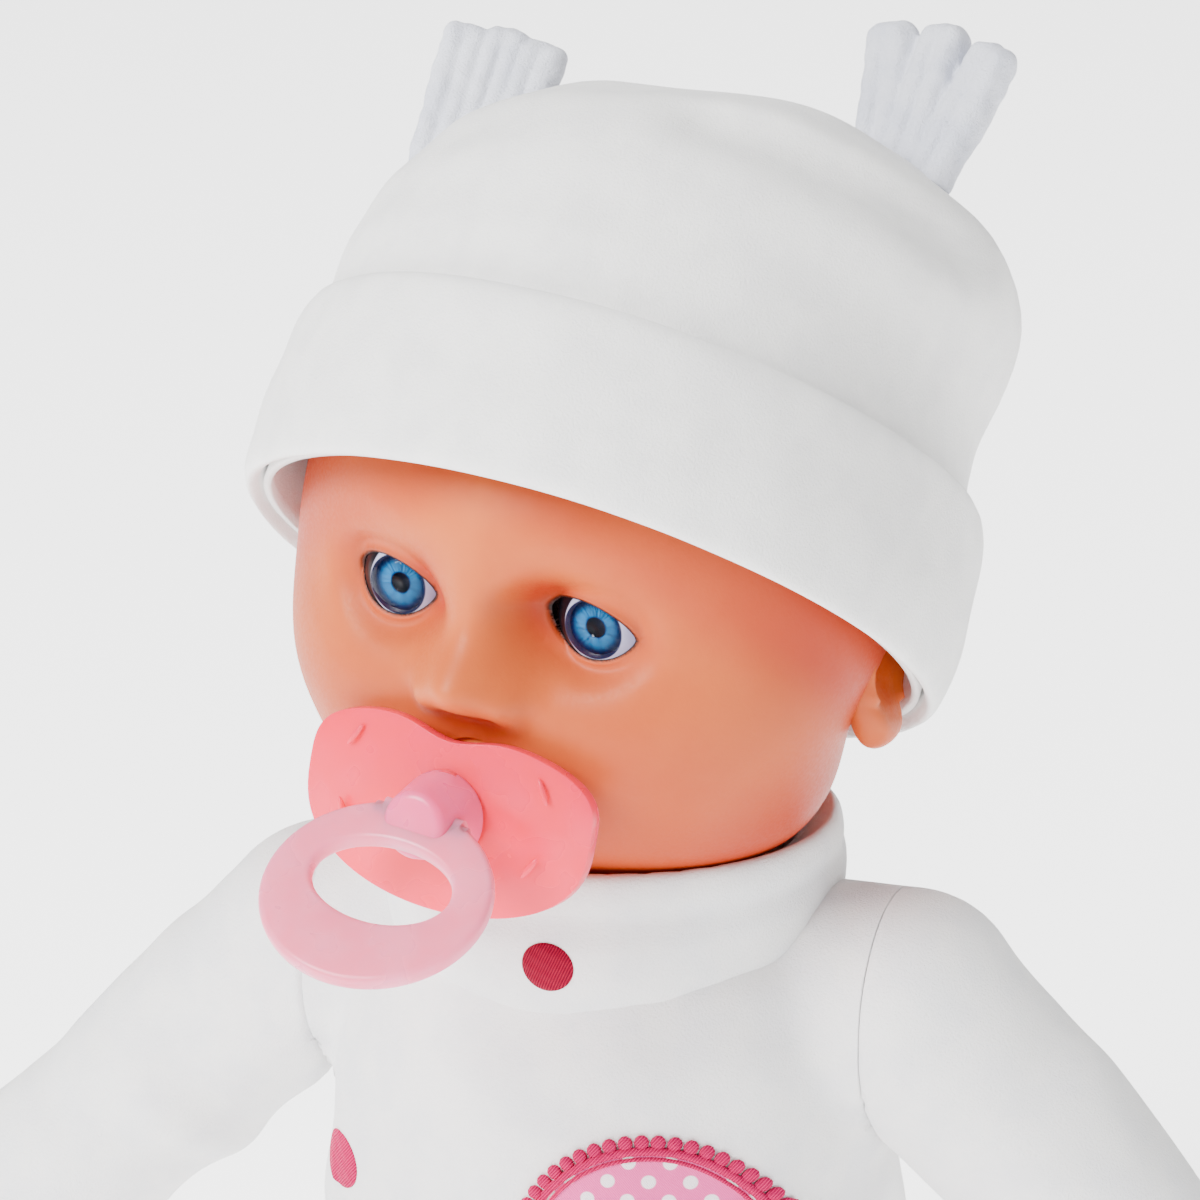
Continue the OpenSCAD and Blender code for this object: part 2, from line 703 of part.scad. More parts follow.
wrist_flange_t = 2.4;
wrist_in = 6;                                   // how far the hand's flange lies inside the arm

module arm_body(s) {
    color(stuffing) difference() {
        arm_form(s, -suit_t - fit, arm_l);
        at_arm(s) {
            translate([0, 0, arm_l - wrist_in]) cylinder(d = wrist_d + 2 * gap, h = 20, $fn = 48);
            translate([0, 0, arm_l - wrist_in - wrist_flange_t - gap])
                cylinder(d = wrist_d + 3 + 2 * gap, h = wrist_flange_t + 2 * gap, $fn = 48);
        }
    }
}

module suit_sleeve(s) {
    color(white) difference() {
        arm_form(s, 0, arm_l + 4);
        arm_form(s, -suit_t, arm_l);
        at_arm(s) translate([0, 0, arm_l - 1]) cylinder(d = cuff_d - 2 * suit_t - 2, h = 20, $fn = 48);
    }
}

module wrist_tie(s) {
    color(white) at_arm(s) translate([0, 0, arm_l + fit]) rotate_extrude($fn = 48)
        translate([wrist_d / 2 + gap, 0]) square([1.6, 1.6]);
}

palm_t = 12;
finger_d = 6.4;
finger_l = 13;

module hand(s) {
    color(skin) at_arm(s) {
        difference() {
            union() {
                translate([0, 0, arm_l - wrist_in]) cylinder(d = wrist_d, h = wrist_in + 7, $fn = 48);
                translate([0, 0, arm_l - wrist_in - wrist_flange_t])
                    cylinder(d = wrist_d + 3, h = wrist_flange_t, $fn = 48);
            }
            translate([0, 0, arm_l - wrist_in - 5]) cylinder(d = wrist_d - 5, h = wrist_in + 8, $fn = 48);
        }
        translate([0, 0, arm_l + 13]) scale([palm_t / 2, 12, 13]) sphere(1, $fn = 24);
        for (i = [0 : 3]) hull() {
            translate([0, -7.6 + 5.1 * i, arm_l + 20]) sphere(d = finger_d, $fn = 12);
            translate([3, -8 + 5.3 * i, arm_l + 20 + finger_l - abs(i - 1.4) * 2])
                sphere(d = finger_d - 0.8, $fn = 12);
        }
        hull() {
            translate([1, -8, arm_l + 8]) sphere(d = finger_d + 1, $fn = 12);
            translate([4, -13.5, arm_l + 18]) sphere(d = finger_d, $fn = 12);
        }
    }
}

// ---------- sound module ----------

module_back = module_y + case_d;
split_y = module_y + case_d / 2;                // where the two halves of the case meet
corner = 4;

// Outline of the case in X and Z, drawn in by t
module case_outline(t) {
    w = case_w / 2 - t;
    h = case_h / 2 - t;
    c = corner;
    polygon([[-w + c, -h], [w - c, -h], [w, -h + c], [w, h - c],
             [w - c, h], [-w + c, h], [-w, h - c], [-w, -h + c]]);
}

// Slab of the outline from one depth to another
module case_slab(t, from, to) {
    translate([0, to, module_z]) rotate([90, 0, 0]) linear_extrude(to - from) case_outline(t);
}

speaker_x = case_w / 2 - case_t - speaker_d / 2 - 1.5;
speaker_z = module_z + case_h / 2 - case_t - speaker_d / 2 - 1;
post_places = [[-case_w / 2 + 6.4, -case_h / 2 + 6.4], [case_w / 2 - 6.4, -case_h / 2 + 6.4],
               [-2.5, case_h / 2 - 5]];
post_d = 5.4;
screw_d = 2.2;

module along_y(x, y, z) { translate([x, y, z]) rotate([-90, 0, 0]) children(); }

module case_posts(from, to) {
    for (p = post_places)
        along_y(p.x, from, module_z + p.y) cylinder(d = post_d, h = to - from, $fn = 24);
}

module case_front() {
    color(white) difference() {
        union() {
            difference() {
                case_slab(0, module_y, split_y);
                case_slab(case_t, module_y + case_t, split_y + 1);
            }
            case_posts(module_y + 1, split_y - fit);
            along_y(button_x, module_y + 1, button_z)
                cylinder(d = button_d + 5, h = button_boss - 1, $fn = 48);
        }
        along_y(button_x, module_y - 1, button_z) cylinder(d = button_d + 2 * gap, h = 20, $fn = 48);
        for (ring = [1, 2], i = [0 : 6 * ring - 1])
            along_y(speaker_x + ring * 4.4 * cos(60 * i / ring), module_y - 1,
                    speaker_z + ring * 4.4 * sin(60 * i / ring))
                cylinder(d = 2.2, h = 4, $fn = 16);
        for (p = post_places)
            along_y(p.x, module_y + 4, module_z + p.y) cylinder(d = screw_d + 2 * fit, h = 20, $fn = 16);
    }
}

cell_n = 3;
cell_row = cell_n * (cell_h + 0.4);             // room for the row of cells
cell_x = -cell_row / 2;                         // left end of the row
cell_y = module_back - case_t - 1 - cell_d / 2;
cell_z = module_z - case_h / 2 + case_t + 4 + cell_d / 2;
door_w = cell_row + 12;
door_h = cell_d + 8;
door_t = 1.2;
switch_x = case_w / 2 - 13;
switch_z = module_z + 8;
switch_travel = 3;
knob_w = 3.4;
knob_h = 4.4;

module case_back() {
    color(white) difference() {
        union() {
            difference() {
                case_slab(0, split_y, module_back);
                case_slab(case_t, split_y - 1, module_back - case_t);
            }
            case_posts(split_y + fit, module_back - 1);
            // side walls of the cell bay
            for (x = [cell_x - 1.5 - 1.2, -cell_x + 1.5])
                translate([x, split_y + 3, cell_z - cell_d / 2 - 1])
                    cube([1.2, case_d / 2 - 3.5, cell_d + 2]);
        }
        for (p = post_places) {
            along_y(p.x, split_y - 1, module_z + p.y) cylinder(d = screw_d + 2 * fit, h = 40, $fn = 24);
            along_y(p.x, module_back - 2.2, module_z + p.y) cylinder(d = 4.4, h = 10, $fn = 24);
        }
        // opening of the cell bay and the ledge that the door lies in
        translate([cell_x - 0.6, module_back - case_t - 1, cell_z - cell_d / 2 - 0.6])
            cube([cell_row + 1.2, 10, cell_d + 1.2]);
        translate([-door_w / 2 - gap, module_back - door_t - fit, cell_z - door_h / 2 - gap])
            cube([door_w + 2 * gap, 10, door_h + 2 * gap]);
        along_y(door_w / 2 - 3, module_back - 8, cell_z) cylinder(d = 1.8, h = 10, $fn = 24);
        // slot for the power switch
        translate([switch_x - knob_w / 2 - gap, module_back - 5, switch_z - knob_h / 2 - gap])
            cube([knob_w + 2 * gap, 10, knob_h + switch_travel + 2 * gap]);
    }
}

module case_screws() {
    color(steel) for (p = post_places) {
        along_y(p.x, split_y - 5, module_z + p.y) cylinder(d = screw_d, h = case_d / 2 + 5 - 2.2, $fn = 24);
        along_y(p.x, module_back - 2.2 + fit, module_z + p.y) difference() {
            cylinder(d = 4, h = 1.4, $fn = 24);
            translate([-0.4, -3, 0.7]) cube([0.8, 6, 2]);
        }
    }
}

module cell_door() {
    color(white) difference() {
        translate([-door_w / 2, module_back - door_t, cell_z - door_h / 2]) cube([door_w, door_t, door_h]);
        along_y(door_w / 2 - 3, module_back - 8, cell_z) cylinder(d = 2.2, h = 20, $fn = 24);
        for (i = [-1 : 1])
            translate([-door_w / 2 + 3, module_back - 0.4, cell_z + i * 2.4 - 0.5]) cube([5, 2, 1]);
    }
}

module door_screw() {
    color(steel) {
        along_y(door_w / 2 - 3, module_back - door_t - 4, cell_z)
            cylinder(d = 1.7, h = door_t + 4.5, $fn = 24);
        along_y(door_w / 2 - 3, module_back + 0.05, cell_z) cylinder(d = 3.6, h = 0.9, $fn = 24);
    }
}

module cells() {
    color(steel) for (i = [0 : cell_n - 1])
        translate([cell_x + 0.2 + i * (cell_h + 0.4), cell_y, cell_z]) rotate([0, 90, 0]) {
            cylinder(d = cell_d, h = cell_h - 0.6, $fn = 48);
            translate([0, 0, cell_h - 0.7]) cylinder(d = cell_d - 2.4, h = 0.7, $fn = 48);
        }
}

module cell_contacts() {
    color(steel) for (s = [1, -1]) side(s) {
        translate([-cell_x + 0.3, cell_y - 4, cell_z - 3]) cube([0.5, 8, 6]);
        translate([-cell_x + 0.3, cell_y - 5.6, cell_z - 3]) cube([0.5, 1.8, 6]);
    }
}

speaker_y = module_y + case_t + fit;
speaker_h = 6;

module speaker() {
    color(dark) along_y(speaker_x, speaker_y, speaker_z) difference() {
        union() {
            cylinder(d = speaker_d, h = 2.4, $fn = 64);
            translate([0, 0, 2]) cylinder(d = speaker_d * 0.5, h = speaker_h - 2, $fn = 48);
        }
        translate([0, 0, -1]) cylinder(d = speaker_d - 3, h = 2.8, $fn = 64);
        translate([0, 0, 1]) cylinder(d = speaker_d * 0.36, h = 3.4, $fn = 48);
    }
}

module speaker_cone() {
    color(dark) along_y(speaker_x, speaker_y, speaker_z) rotate_extrude($fn = 64) {
        r = speaker_d / 2 - 1.7;
        polygon([[0, 1], [r * 0.3, 0.6], [r * 0.36, 1.2], [r - 2, 0.3], [r - 1, 0.1], [r, 0.5], [r, 0.9],
                 [r - 1, 0.5], [r - 2, 0.7], [r * 0.36, 1.6], [r * 0.3, 1.1], [0, 1.5]]);
    }
}

board_t = 1.4;
board_y = split_y + 1.2;                        // front face of the board

module circuit_board() {
    z_low = cell_z + cell_d / 2 + 1.6;
    z_high = module_z + case_h / 2 - case_t - 0.6;
    color([0.10, 0.40, 0.22]) difference() {
        union() {
            translate([-case_w / 2 + case_t + 4.2, board_y, z_low])
                cube([case_w - 2 * case_t - 8.4, board_t, z_high - z_low]);
            // sound chip, press switch behind the tummy button, and slide switch by the knob
            along_y(3, board_y + board_t - 0.1, module_z + 12) cylinder(d = 9, h = 1.6, $fn = 32);
            translate([button_x - 2.5, board_y - 1.6, button_z - 2.5]) cube([5, 1.7, 5]);
            translate([switch_x - 7, board_y + board_t - 0.1, switch_z - 2.4]) cube([3.6, 3, 9]);
        }
        along_y(post_places[2].x, board_y - 1, module_z + post_places[2].y)
            cylinder(d = post_d + 2 * gap, h = 4, $fn = 32);
    }
}

button_proud = 3;                               // how far the button stands out of the case
button_rim = 1.2;
button_face_t = 1.8;                            // thickness of the button's face
button_boss = 6;                                // how far the case guides the button
button_back = button_proud + button_boss + gap; // from its face to its rim

stem_end = board_y - 1.6 - button_travel - gap - (module_y - button_proud);

module tummy_button() {
    color(pink) along_y(button_x, module_y - button_proud, button_z) {
        difference() {
            union() {
                cylinder(d = button_d, h = button_back + button_rim, $fn = 48);
                translate([0, 0, button_back]) cylinder(d = button_d + 3, h = button_rim, $fn = 48);
            }
            translate([0, 0, button_face_t]) cylinder(d = button_d - 4, h = 20, $fn = 48);
        }
        // stem that presses the board's switch
        translate([0, 0, 1]) cylinder(d = 2.4, h = stem_end - 1, $fn = 24);
    }
}

spring_wire = 0.7;
spring_r = 4.6;
spring_turns = 4;
spring_l = board_y - (module_y - button_proud) - button_face_t - button_travel - spring_wire - 2 * gap;

// Coil spring between the board and the button's face, at its pressed length
module button_spring() {
    steps = 12;
    color(steel) along_y(button_x, board_y - gap - spring_wire / 2, button_z) rotate([180, 0, 0])
        loft([for (i = [0 : spring_turns * steps])
            let (a = 360 * i / steps, out = [cos(a), sin(a), 0])
            [for (j = [0 : 5])
                out * (spring_r + spring_wire / 2 * cos(60 * j))
                    + [0, 0, spring_l * i / (spring_turns * steps) + spring_wire / 2 * sin(60 * j)]]]);
}

module power_switch() {
    color(dark) {
        translate([switch_x - knob_w / 2, module_back - case_t - 0.6, switch_z - knob_h / 2])
            cube([knob_w, case_t + 1.8, knob_h]);
        translate([switch_x - knob_w / 2 - 1.6, module_back - case_t - 1.6, switch_z - knob_h / 2 - 1.6])
            cube([knob_w + 3.2, 1.3, knob_h + 3.2]);
    }
}

torso_body();
suit_torso();
suit_collar();
suit_patch();
suit_dots();
suit_back_strip();
neck_tie();
head_shell();
neck_plug();
eye_ball(1);  // eye_ball_left
eye_ball(-1);  // eye_ball_right
eye_iris(1);  // eye_iris_left
eye_iris(-1);  // eye_iris_right
eye_lens(1);  // eye_lens_left
eye_lens(-1);  // eye_lens_right
mouth_cup();
mouth_sensor();
sensor_lead();
sensor_lead_foot();
hat_crown();
hat_brim();
hat_tassel(1);  // hat_tassel_left
hat_tassel(-1);  // hat_tassel_right
pacifier_shield();
pacifier_teat();
pacifier_magnet();
pacifier_ring();
arm_body(1);  // arm_body_left
arm_body(-1);  // arm_body_right
suit_sleeve(1);  // suit_sleeve_left
suit_sleeve(-1);  // suit_sleeve_right
hand(1);  // hand_left
hand(-1);  // hand_right
wrist_tie(1);  // wrist_tie_left
wrist_tie(-1);  // wrist_tie_right
leg_body(1);  // leg_body_left
leg_body(-1);  // leg_body_right
suit_leg(1);  // suit_leg_left
suit_leg(-1);  // suit_leg_right
case_front();
case_back();
case_screws();
speaker();
speaker_cone();
circuit_board();
tummy_button();
button_spring();
power_switch();
cells();
cell_contacts();
cell_door();
door_screw();
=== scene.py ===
import bpy
import bmesh
from math import asin, atan2, copysign, cos, degrees, dist, exp, hypot, pi, radians, sin, sqrt, tan, tau
from mathutils import Matrix, Vector, noise
from mathutils.bvhtree import BVHTree


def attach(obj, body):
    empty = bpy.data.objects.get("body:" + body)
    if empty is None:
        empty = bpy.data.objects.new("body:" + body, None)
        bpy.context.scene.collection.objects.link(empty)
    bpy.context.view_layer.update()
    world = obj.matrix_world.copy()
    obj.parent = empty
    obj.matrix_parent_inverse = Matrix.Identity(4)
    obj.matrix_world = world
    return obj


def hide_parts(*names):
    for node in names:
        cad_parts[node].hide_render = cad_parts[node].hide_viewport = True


ops = bmesh.ops

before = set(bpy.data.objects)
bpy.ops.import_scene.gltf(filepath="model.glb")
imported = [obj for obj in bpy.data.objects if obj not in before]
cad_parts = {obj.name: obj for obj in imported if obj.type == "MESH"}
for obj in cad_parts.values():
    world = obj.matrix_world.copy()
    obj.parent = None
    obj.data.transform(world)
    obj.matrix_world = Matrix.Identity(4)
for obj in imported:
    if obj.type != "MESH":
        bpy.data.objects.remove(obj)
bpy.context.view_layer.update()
scene = bpy.context.scene


# places, in millimetres as on the drawing

def turnBy(axis, angle):
    return Matrix.Rotation(radians(angle), 4, axis)


def moveBy(x, y, z):
    return Matrix.Translation((x, y, z))


def stretchBy(x, y, z):
    return Matrix.Diagonal((x, y, z, 1))


def bearing(direction):    # degrees round from the front
    return degrees(atan2(direction.x, -direction.y))


def ease(low, high, value):
    t = min(1.0, max(0.0, (value - low) / (high - low)))
    return t * t * (3 - 2 * t)


def hump(distance, width):
    return exp(-(distance / width) ** 2)


headPlace = turnBy("Z", -8) @ moveBy(0, 0, 179) @ turnBy("Y", 3)
mouthPlace = headPlace @ moveBy(0, -45.5, -28.5) @ turnBy("X", 82)
pacifierPlace = mouthPlace @ turnBy("Z", -4)
ringPlace = pacifierPlace @ moveBy(0, -4, 14.6) @ turnBy("X", 132)
hatTilt = 36
hatPlace = headPlace @ moveBy(0, -4 - 6.5 * sin(radians(hatTilt)),
                              -2 - 6.5 * cos(radians(hatTilt))) @ turnBy("X", -hatTilt)
collarPlace = moveBy(0, 0, 120.5) @ turnBy("X", 8)
shoulderOut = 51
shoulderHeight = 104.5
armSlope = 44
armHole = 48.5
leg = {"out": 27, "forward": -12, "high": 23.7, "splay": 22, "long": 100, "heel": 17.5, "floorGap": 0.2}
sideWords = {1: ("Left", "left"), -1: ("Right", "right")}


def armPlace(side):
    return stretchBy(side, 1, 1) @ moveBy(shoulderOut, 0, shoulderHeight) @ turnBy("Y", 90 + armSlope)


def legPlace(side):
    drop = degrees(asin((leg["high"] - leg["heel"] - leg["floorGap"]) / leg["long"]))
    hip = stretchBy(side, 1, 1) @ moveBy(leg["out"], leg["forward"], leg["high"])
    return hip @ turnBy("Z", leg["splay"]) @ turnBy("X", 90 + drop)


# shader tools

def paint(code):
    parts = [int(code[i:i + 2], 16) / 255 for i in (0, 2, 4)]
    return tuple(p / 12.92 if p <= 0.04045 else ((p + 0.055) / 1.055) ** 2.4 for p in parts) + (1.0,)


class Wire:
    def __init__(self, finish, socket):
        self.finish, self.socket = finish, socket

    def join(self, operation, other):
        return self.finish.compute(operation, self, other)

    def __add__(self, other): return self.join("ADD", other)
    def __sub__(self, other): return self.join("SUBTRACT", other)
    def __mul__(self, other): return self.join("MULTIPLY", other)
    def __truediv__(self, other): return self.join("DIVIDE", other)
    def __pow__(self, other): return self.join("POWER", other)


class Finish:
    def __init__(self, name, **fixed):
        self.material = bpy.data.materials.new(name)
        self.material.use_nodes = True
        self.tree = self.material.node_tree
        self.base = self.tree.nodes["Principled BSDF"]
        self.drive(**fixed)

    def add(self, kind, settings, *values, output=0, **named):
        node = self.tree.nodes.new(kind)
        for key, value in settings.items():
            setattr(node, key, value)
        for index, value in enumerate(values):
            self.feed(node.inputs[index], value)
        for key, value in named.items():
            self.feed(node.inputs[key.replace("_", " ")], value)
        return Wire(self, node.outputs[output])

    def compute(self, operation, *values):
        return self.add("ShaderNodeMath", {"operation": operation}, *values)

    def feed(self, socket, value):    # a wire, a number or a colour's code
        if isinstance(value, Wire):
            self.tree.links.new(value.socket, socket)
        else:
            socket.default_value = paint(value) if isinstance(value, str) else value

    def drive(self, **wires):
        for key, value in wires.items():
            self.feed(self.base.inputs[key.replace("_", " ")], value)
        return self.material

    def end(self, shader):
        self.tree.links.new(shader.socket, self.tree.nodes["Material Output"].inputs[0])
        return self.material

    def spot(self, place=Matrix.Identity(4)):    # millimetres in a piece's own place
        where = self.add("ShaderNodeTexCoord", {}, output=3)
        location, rotation, _ = place.decompose()
        return self.add("ShaderNodeMapping", {"vector_type": "TEXTURE"}, where,
                        Location=location * 0.001, Rotation=rotation.to_euler(), Scale=(0.001,) * 3)

    def split(self, vector):
        node = self.tree.nodes.new("ShaderNodeSeparateXYZ")
        self.feed(node.inputs[0], vector)
        return [Wire(self, out) for out in node.outputs]

    def mix(self, factor, a, b):
        node = self.tree.nodes.new("ShaderNodeMix")
        node.data_type = "RGBA"
        for index, value in ((0, factor), (6, a), (7, b)):
            self.feed(node.inputs[index], value)
        return Wire(self, node.outputs[2])

    def noise(self, where, scale, detail=2.0, rough=0.5):
        return self.add("ShaderNodeTexNoise", {}, Vector=where, Scale=scale, Detail=detail, Roughness=rough)

    def ramp(self, value, low, high, to=(0.0, 1.0)):
        return self.add("ShaderNodeMapRange", {"interpolation_type": "SMOOTHSTEP"}, value, low, high, *to)

    def layer(self, name):
        return self.add("ShaderNodeAttribute", {"attribute_name": name}, output=2)

    def bump(self, height, depth, strength=1.0):    # depth in millimetres
        return self.add("ShaderNodeBump", {}, Strength=strength, Distance=depth * 0.001, Height=height)


# mesh tools

def newShape(make, **settings):
    shape = bmesh.new()
    getattr(ops, make)(shape, **settings)
    return shape


def newBall(around, high, radius=1):
    return newShape("create_uvsphere", u_segments=around, v_segments=high, radius=radius)


def addForm(shape, make, place, **settings):
    made = getattr(ops, make)(shape, **settings)
    ops.transform(shape, matrix=place, verts=made["verts"])
    return made["verts"]


def addBall(shape, place, size=(1, 1, 1), across=24):
    return addForm(shape, "create_uvsphere", place @ stretchBy(*size), u_segments=across,
                   v_segments=across // 2, radius=1)


def addTube(shape, place, radius1, radius2, long, across=32):    # along +Z from the place's origin
    return addForm(shape, "create_cone", place @ moveBy(0, 0, long / 2), cap_ends=True, segments=across,
                   radius1=radius1, radius2=radius2, depth=long)


def faceOut(shape):
    ops.recalc_face_normals(shape, faces=shape.faces)


def soften(shape, verts, rounds):
    for _ in range(rounds):
        ops.smooth_vert(shape, verts=verts, factor=0.5, use_axis_x=True, use_axis_y=True, use_axis_z=True)


def lathe(points, steps, closed, weld):    # turns (radius, height) points about +Z
    shape = bmesh.new()
    verts = [shape.verts.new((r, 0, z)) for r, z in points]
    following = verts[1:] + verts[:1] if closed else verts[1:]
    edges = [shape.edges.new(pair) for pair in zip(verts, following)]
    ops.spin(shape, geom=verts + edges, cent=(0, 0, 0), axis=(0, 0, 1), angle=tau, steps=steps,
                   use_merge=True)
    ops.remove_doubles(shape, verts=shape.verts, dist=weld)
    return shape


def onlyVerts(made):
    return [v for v in made if isinstance(v, bmesh.types.BMVert)]


def trim(shape, point, normal, **cleared):
    ops.bisect_plane(shape, geom=shape.verts[:] + shape.edges[:] + shape.faces[:], plane_co=point,
                           plane_no=normal, **cleared)


def drawnTo(point, radius):    # x and y, moved to this distance from the axis
    around = hypot(point.x, point.y)
    return point.x * radius / around, point.y * radius / around


def growRim(shape, rim):    # a new row of faces along an open edge: its points and its own open edge
    made = ops.extrude_edge_only(shape, edges=rim)["geom"]
    return onlyVerts(made), [e for e in made if isinstance(e, bmesh.types.BMEdge) and e.is_boundary]


def skinLayers(shape):
    return [shape.verts.layers.float.new(name) for name in ("blushAndShade", "rim", "line")]


def toMesh(shape, name, place=Matrix.Identity(4)):
    shape.transform(Matrix.Scale(0.001, 4) @ place)
    if place.determinant() < 0:
        ops.reverse_faces(shape, faces=shape.faces)
    data = bpy.data.meshes.new(name)
    shape.to_mesh(data)
    shape.free()
    data.shade_smooth()
    return data


def fromMesh(data):    # in millimetres
    shape = bmesh.new()
    shape.from_mesh(data)
    shape.transform(Matrix.Scale(1000, 4))
    return shape


def addObject(name, data):
    made = bpy.data.objects.new(name, data)
    scene.collection.objects.link(made)
    return made


def makePiece(shape, name, material, body, instead=None, place=Matrix.Identity(4)):
    data = toMesh(shape, name, place)
    data.materials.append(material)
    piece = addObject(name, data)
    if body:
        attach(piece, body)
    if instead:
        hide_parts(instead)
    return piece


def addModifier(piece, kind, name, **settings):
    modifier = piece.modifiers.new(name, kind)
    for key, value in settings.items():
        setattr(modifier, key, value)


def settle(piece):    # the modifiers' result becomes the mesh
    graph = bpy.context.evaluated_depsgraph_get()
    graph.update()
    data = bpy.data.meshes.new_from_object(piece.evaluated_get(graph))
    piece.modifiers.clear()
    old, piece.data = piece.data, data
    bpy.data.meshes.remove(old)


def fuse(shape, voxel, rounds):    # overlapping closed forms become one soft form, in millimetres
    piece = addObject("fusing", toMesh(shape, "fusing"))
    addModifier(piece, "REMESH", "join", mode="VOXEL", voxel_size=voxel * 0.001)
    addModifier(piece, "SMOOTH", "soften", factor=0.5, iterations=rounds)
    settle(piece)
    data = piece.data
    fused = fromMesh(data)
    bpy.data.objects.remove(piece)
    bpy.data.meshes.remove(data)
    return fused


def makeBand(outline, name, material, body, instead):    # a soft ring of cloth, turned from its outline
    shape = lathe(outline, 72, True, 0.01)
    faceOut(shape)
    piece = makePiece(shape, name, material, body, instead)
    addModifier(piece, "SUBSURF", "round", levels=2, render_levels=2)
    settle(piece)
    return piece


def layCloth(piece, thickness=0.0012):    # the cloth's thickness and cut size
    addModifier(piece, "SOLIDIFY", "cloth", thickness=thickness, offset=-1)
    settle(piece)


def wander(point, scale, seed=0.0):    # smooth noise, about -1 to 1
    return noise.noise(Vector((point.x / scale + seed, point.y / scale - seed, point.z / scale + 2 * seed)))


# finishes

def velour(name, colour, shade, pile=0.35):
    look = Finish(name, Roughness=0.92, Sheen_Weight=0.35, Sheen_Roughness=0.45, Specular_IOR_Level=0.15)
    where = look.spot()
    fuzz = look.noise(where, 2.2, 3.0, 0.7)
    nap = look.noise(where, 0.12, 3.0)
    tint = look.mix(look.ramp(nap, 0.35, 0.7), colour, shade)
    return look.drive(Base_Color=tint, Roughness=look.ramp(fuzz, 0.3, 0.7, (0.82, 0.98)),
                      Normal=look.bump(fuzz * 0.7 + nap * 0.6, pile))


def plainFinish(name, colour, rough, grain=0.15, scale=1.5, **fixed):
    look = Finish(name, **fixed)
    where = look.spot()
    speckle = look.noise(where, scale, 3.0)
    worn = look.noise(where, 0.08, 2.0)
    darker = tuple(c * 0.86 for c in paint(colour)[:3]) + (1.0,)
    return look.drive(Base_Color=look.mix(look.ramp(worn, 0.35, 0.75), colour, darker),
                      Roughness=look.ramp(speckle, 0.2, 0.8, (rough - 0.06, rough + 0.08)),
                      Normal=look.bump(speckle, grain * 0.1))


whiteVelour = velour("whiteVelour", "F4F3F2", "ECECEE")
hatVelour = velour("hatVelour", "F6F5F3", "EEEDEC", 0.3)
tasselFleece = velour("tasselFleece", "E4E6F0", "D6D9E6", 0.6)
stuffedCloth = plainFinish("stuffedCloth", "F3E2D6", 0.9, 1.2, 1.2)
whitePlastic = plainFinish("whitePlastic", "EDEDEA", 0.4)
blackPlastic = plainFinish("blackPlastic", "26282C", 0.45)
boardGreen = plainFinish("boardGreen", "1E6A3C", 0.35)
brushedSteel = plainFinish("brushedSteel", "C2C4C8", 0.3, 0.1, 3.0, Metallic=1.0)
redLead = plainFinish("redLead", "B32430", 0.4)
buttonPink = plainFinish("buttonPink", "F08AA6", 0.35)


def makeSkin():
    look = Finish("vinylSkin", Subsurface_Weight=0.18, Subsurface_Radius=(0.0035, 0.0016, 0.0009),
                  Subsurface_Scale=1.0, Specular_IOR_Level=0.22)
    where = look.spot()
    mottle = look.noise(where, 0.07, 3.0)
    skin = look.mix(look.ramp(mottle, 0.3, 0.7), "C5642C", "BB5A25")
    # blush, darkened with painted shade under the nose, chin and hat brim, round the eyes and down the head's
    # sides; line: a brown lid line and a painted shade line in the lid's crease; rim: a dark lid line, and near
    # black painted shade of the gap inside the eye openings
    for layer, colour in (("blushAndShade", "A83410"), ("line", "8A3A1C"), ("rim", "1C0D0B")):
        skin = look.mix(look.layer(layer), skin, colour)
    pores = look.noise(where, 1.6, 3.0, 0.6)
    return look.drive(Base_Color=skin, Roughness=look.ramp(pores, 0.3, 0.7, (0.42, 0.54)),
                      Normal=look.bump(pores, 0.03))


vinylSkin = makeSkin()


def makePink(name, colour, shade):
    look = Finish(name, Roughness=0.28, IOR=1.46, Transmission_Weight=0.12, Subsurface_Weight=0.6,
                  Subsurface_Radius=(0.006, 0.002, 0.0025), Subsurface_Scale=1.0, Coat_Weight=0.1,
                  Coat_Roughness=0.2, Specular_IOR_Level=0.35)
    where = look.spot()
    cloudy = look.noise(where, 0.12, 2.0)
    tint = look.mix(look.ramp(cloudy, 0.3, 0.7), colour, shade)
    return look.drive(Base_Color=tint, Roughness=look.ramp(cloudy, 0.3, 0.7, (0.24, 0.36)),
                      Normal=look.bump(look.noise(where, 0.6, 2.0), 0.012))


clearPink = makePink("clearPink", "FF244E", "FF1C42")
palePink = makePink("palePink", "FF8AA8", "FF7C9A")
hubPink = makePink("hubPink", "FF6498", "FF548A")


# yaw, roll and gaze in degrees, gaze downward; shift and stretch are those of the lids
eyes = {"apart": 35.0, "depth": -32.5, "ball": 9.0, "iris": 4.7, "irisDeep": 0.8, "yaw": {1: 1.0, -1: 8.0},
        "gaze": {1: 7.0, -1: 3.0}, "wide": 7.3, "upper": 4.1, "lower": 5.4, "roll": 10.0,
        "shift": {1: (-1.1, -0.9), -1: (0.1, -0.3)}, "stretch": {1: 1.06, -1: 1.0}}


def eyePlace(side):
    return headPlace @ moveBy(side * eyes["apart"] / 2, eyes["depth"], 0) @ turnBy("X", 90 + eyes["gaze"][side])


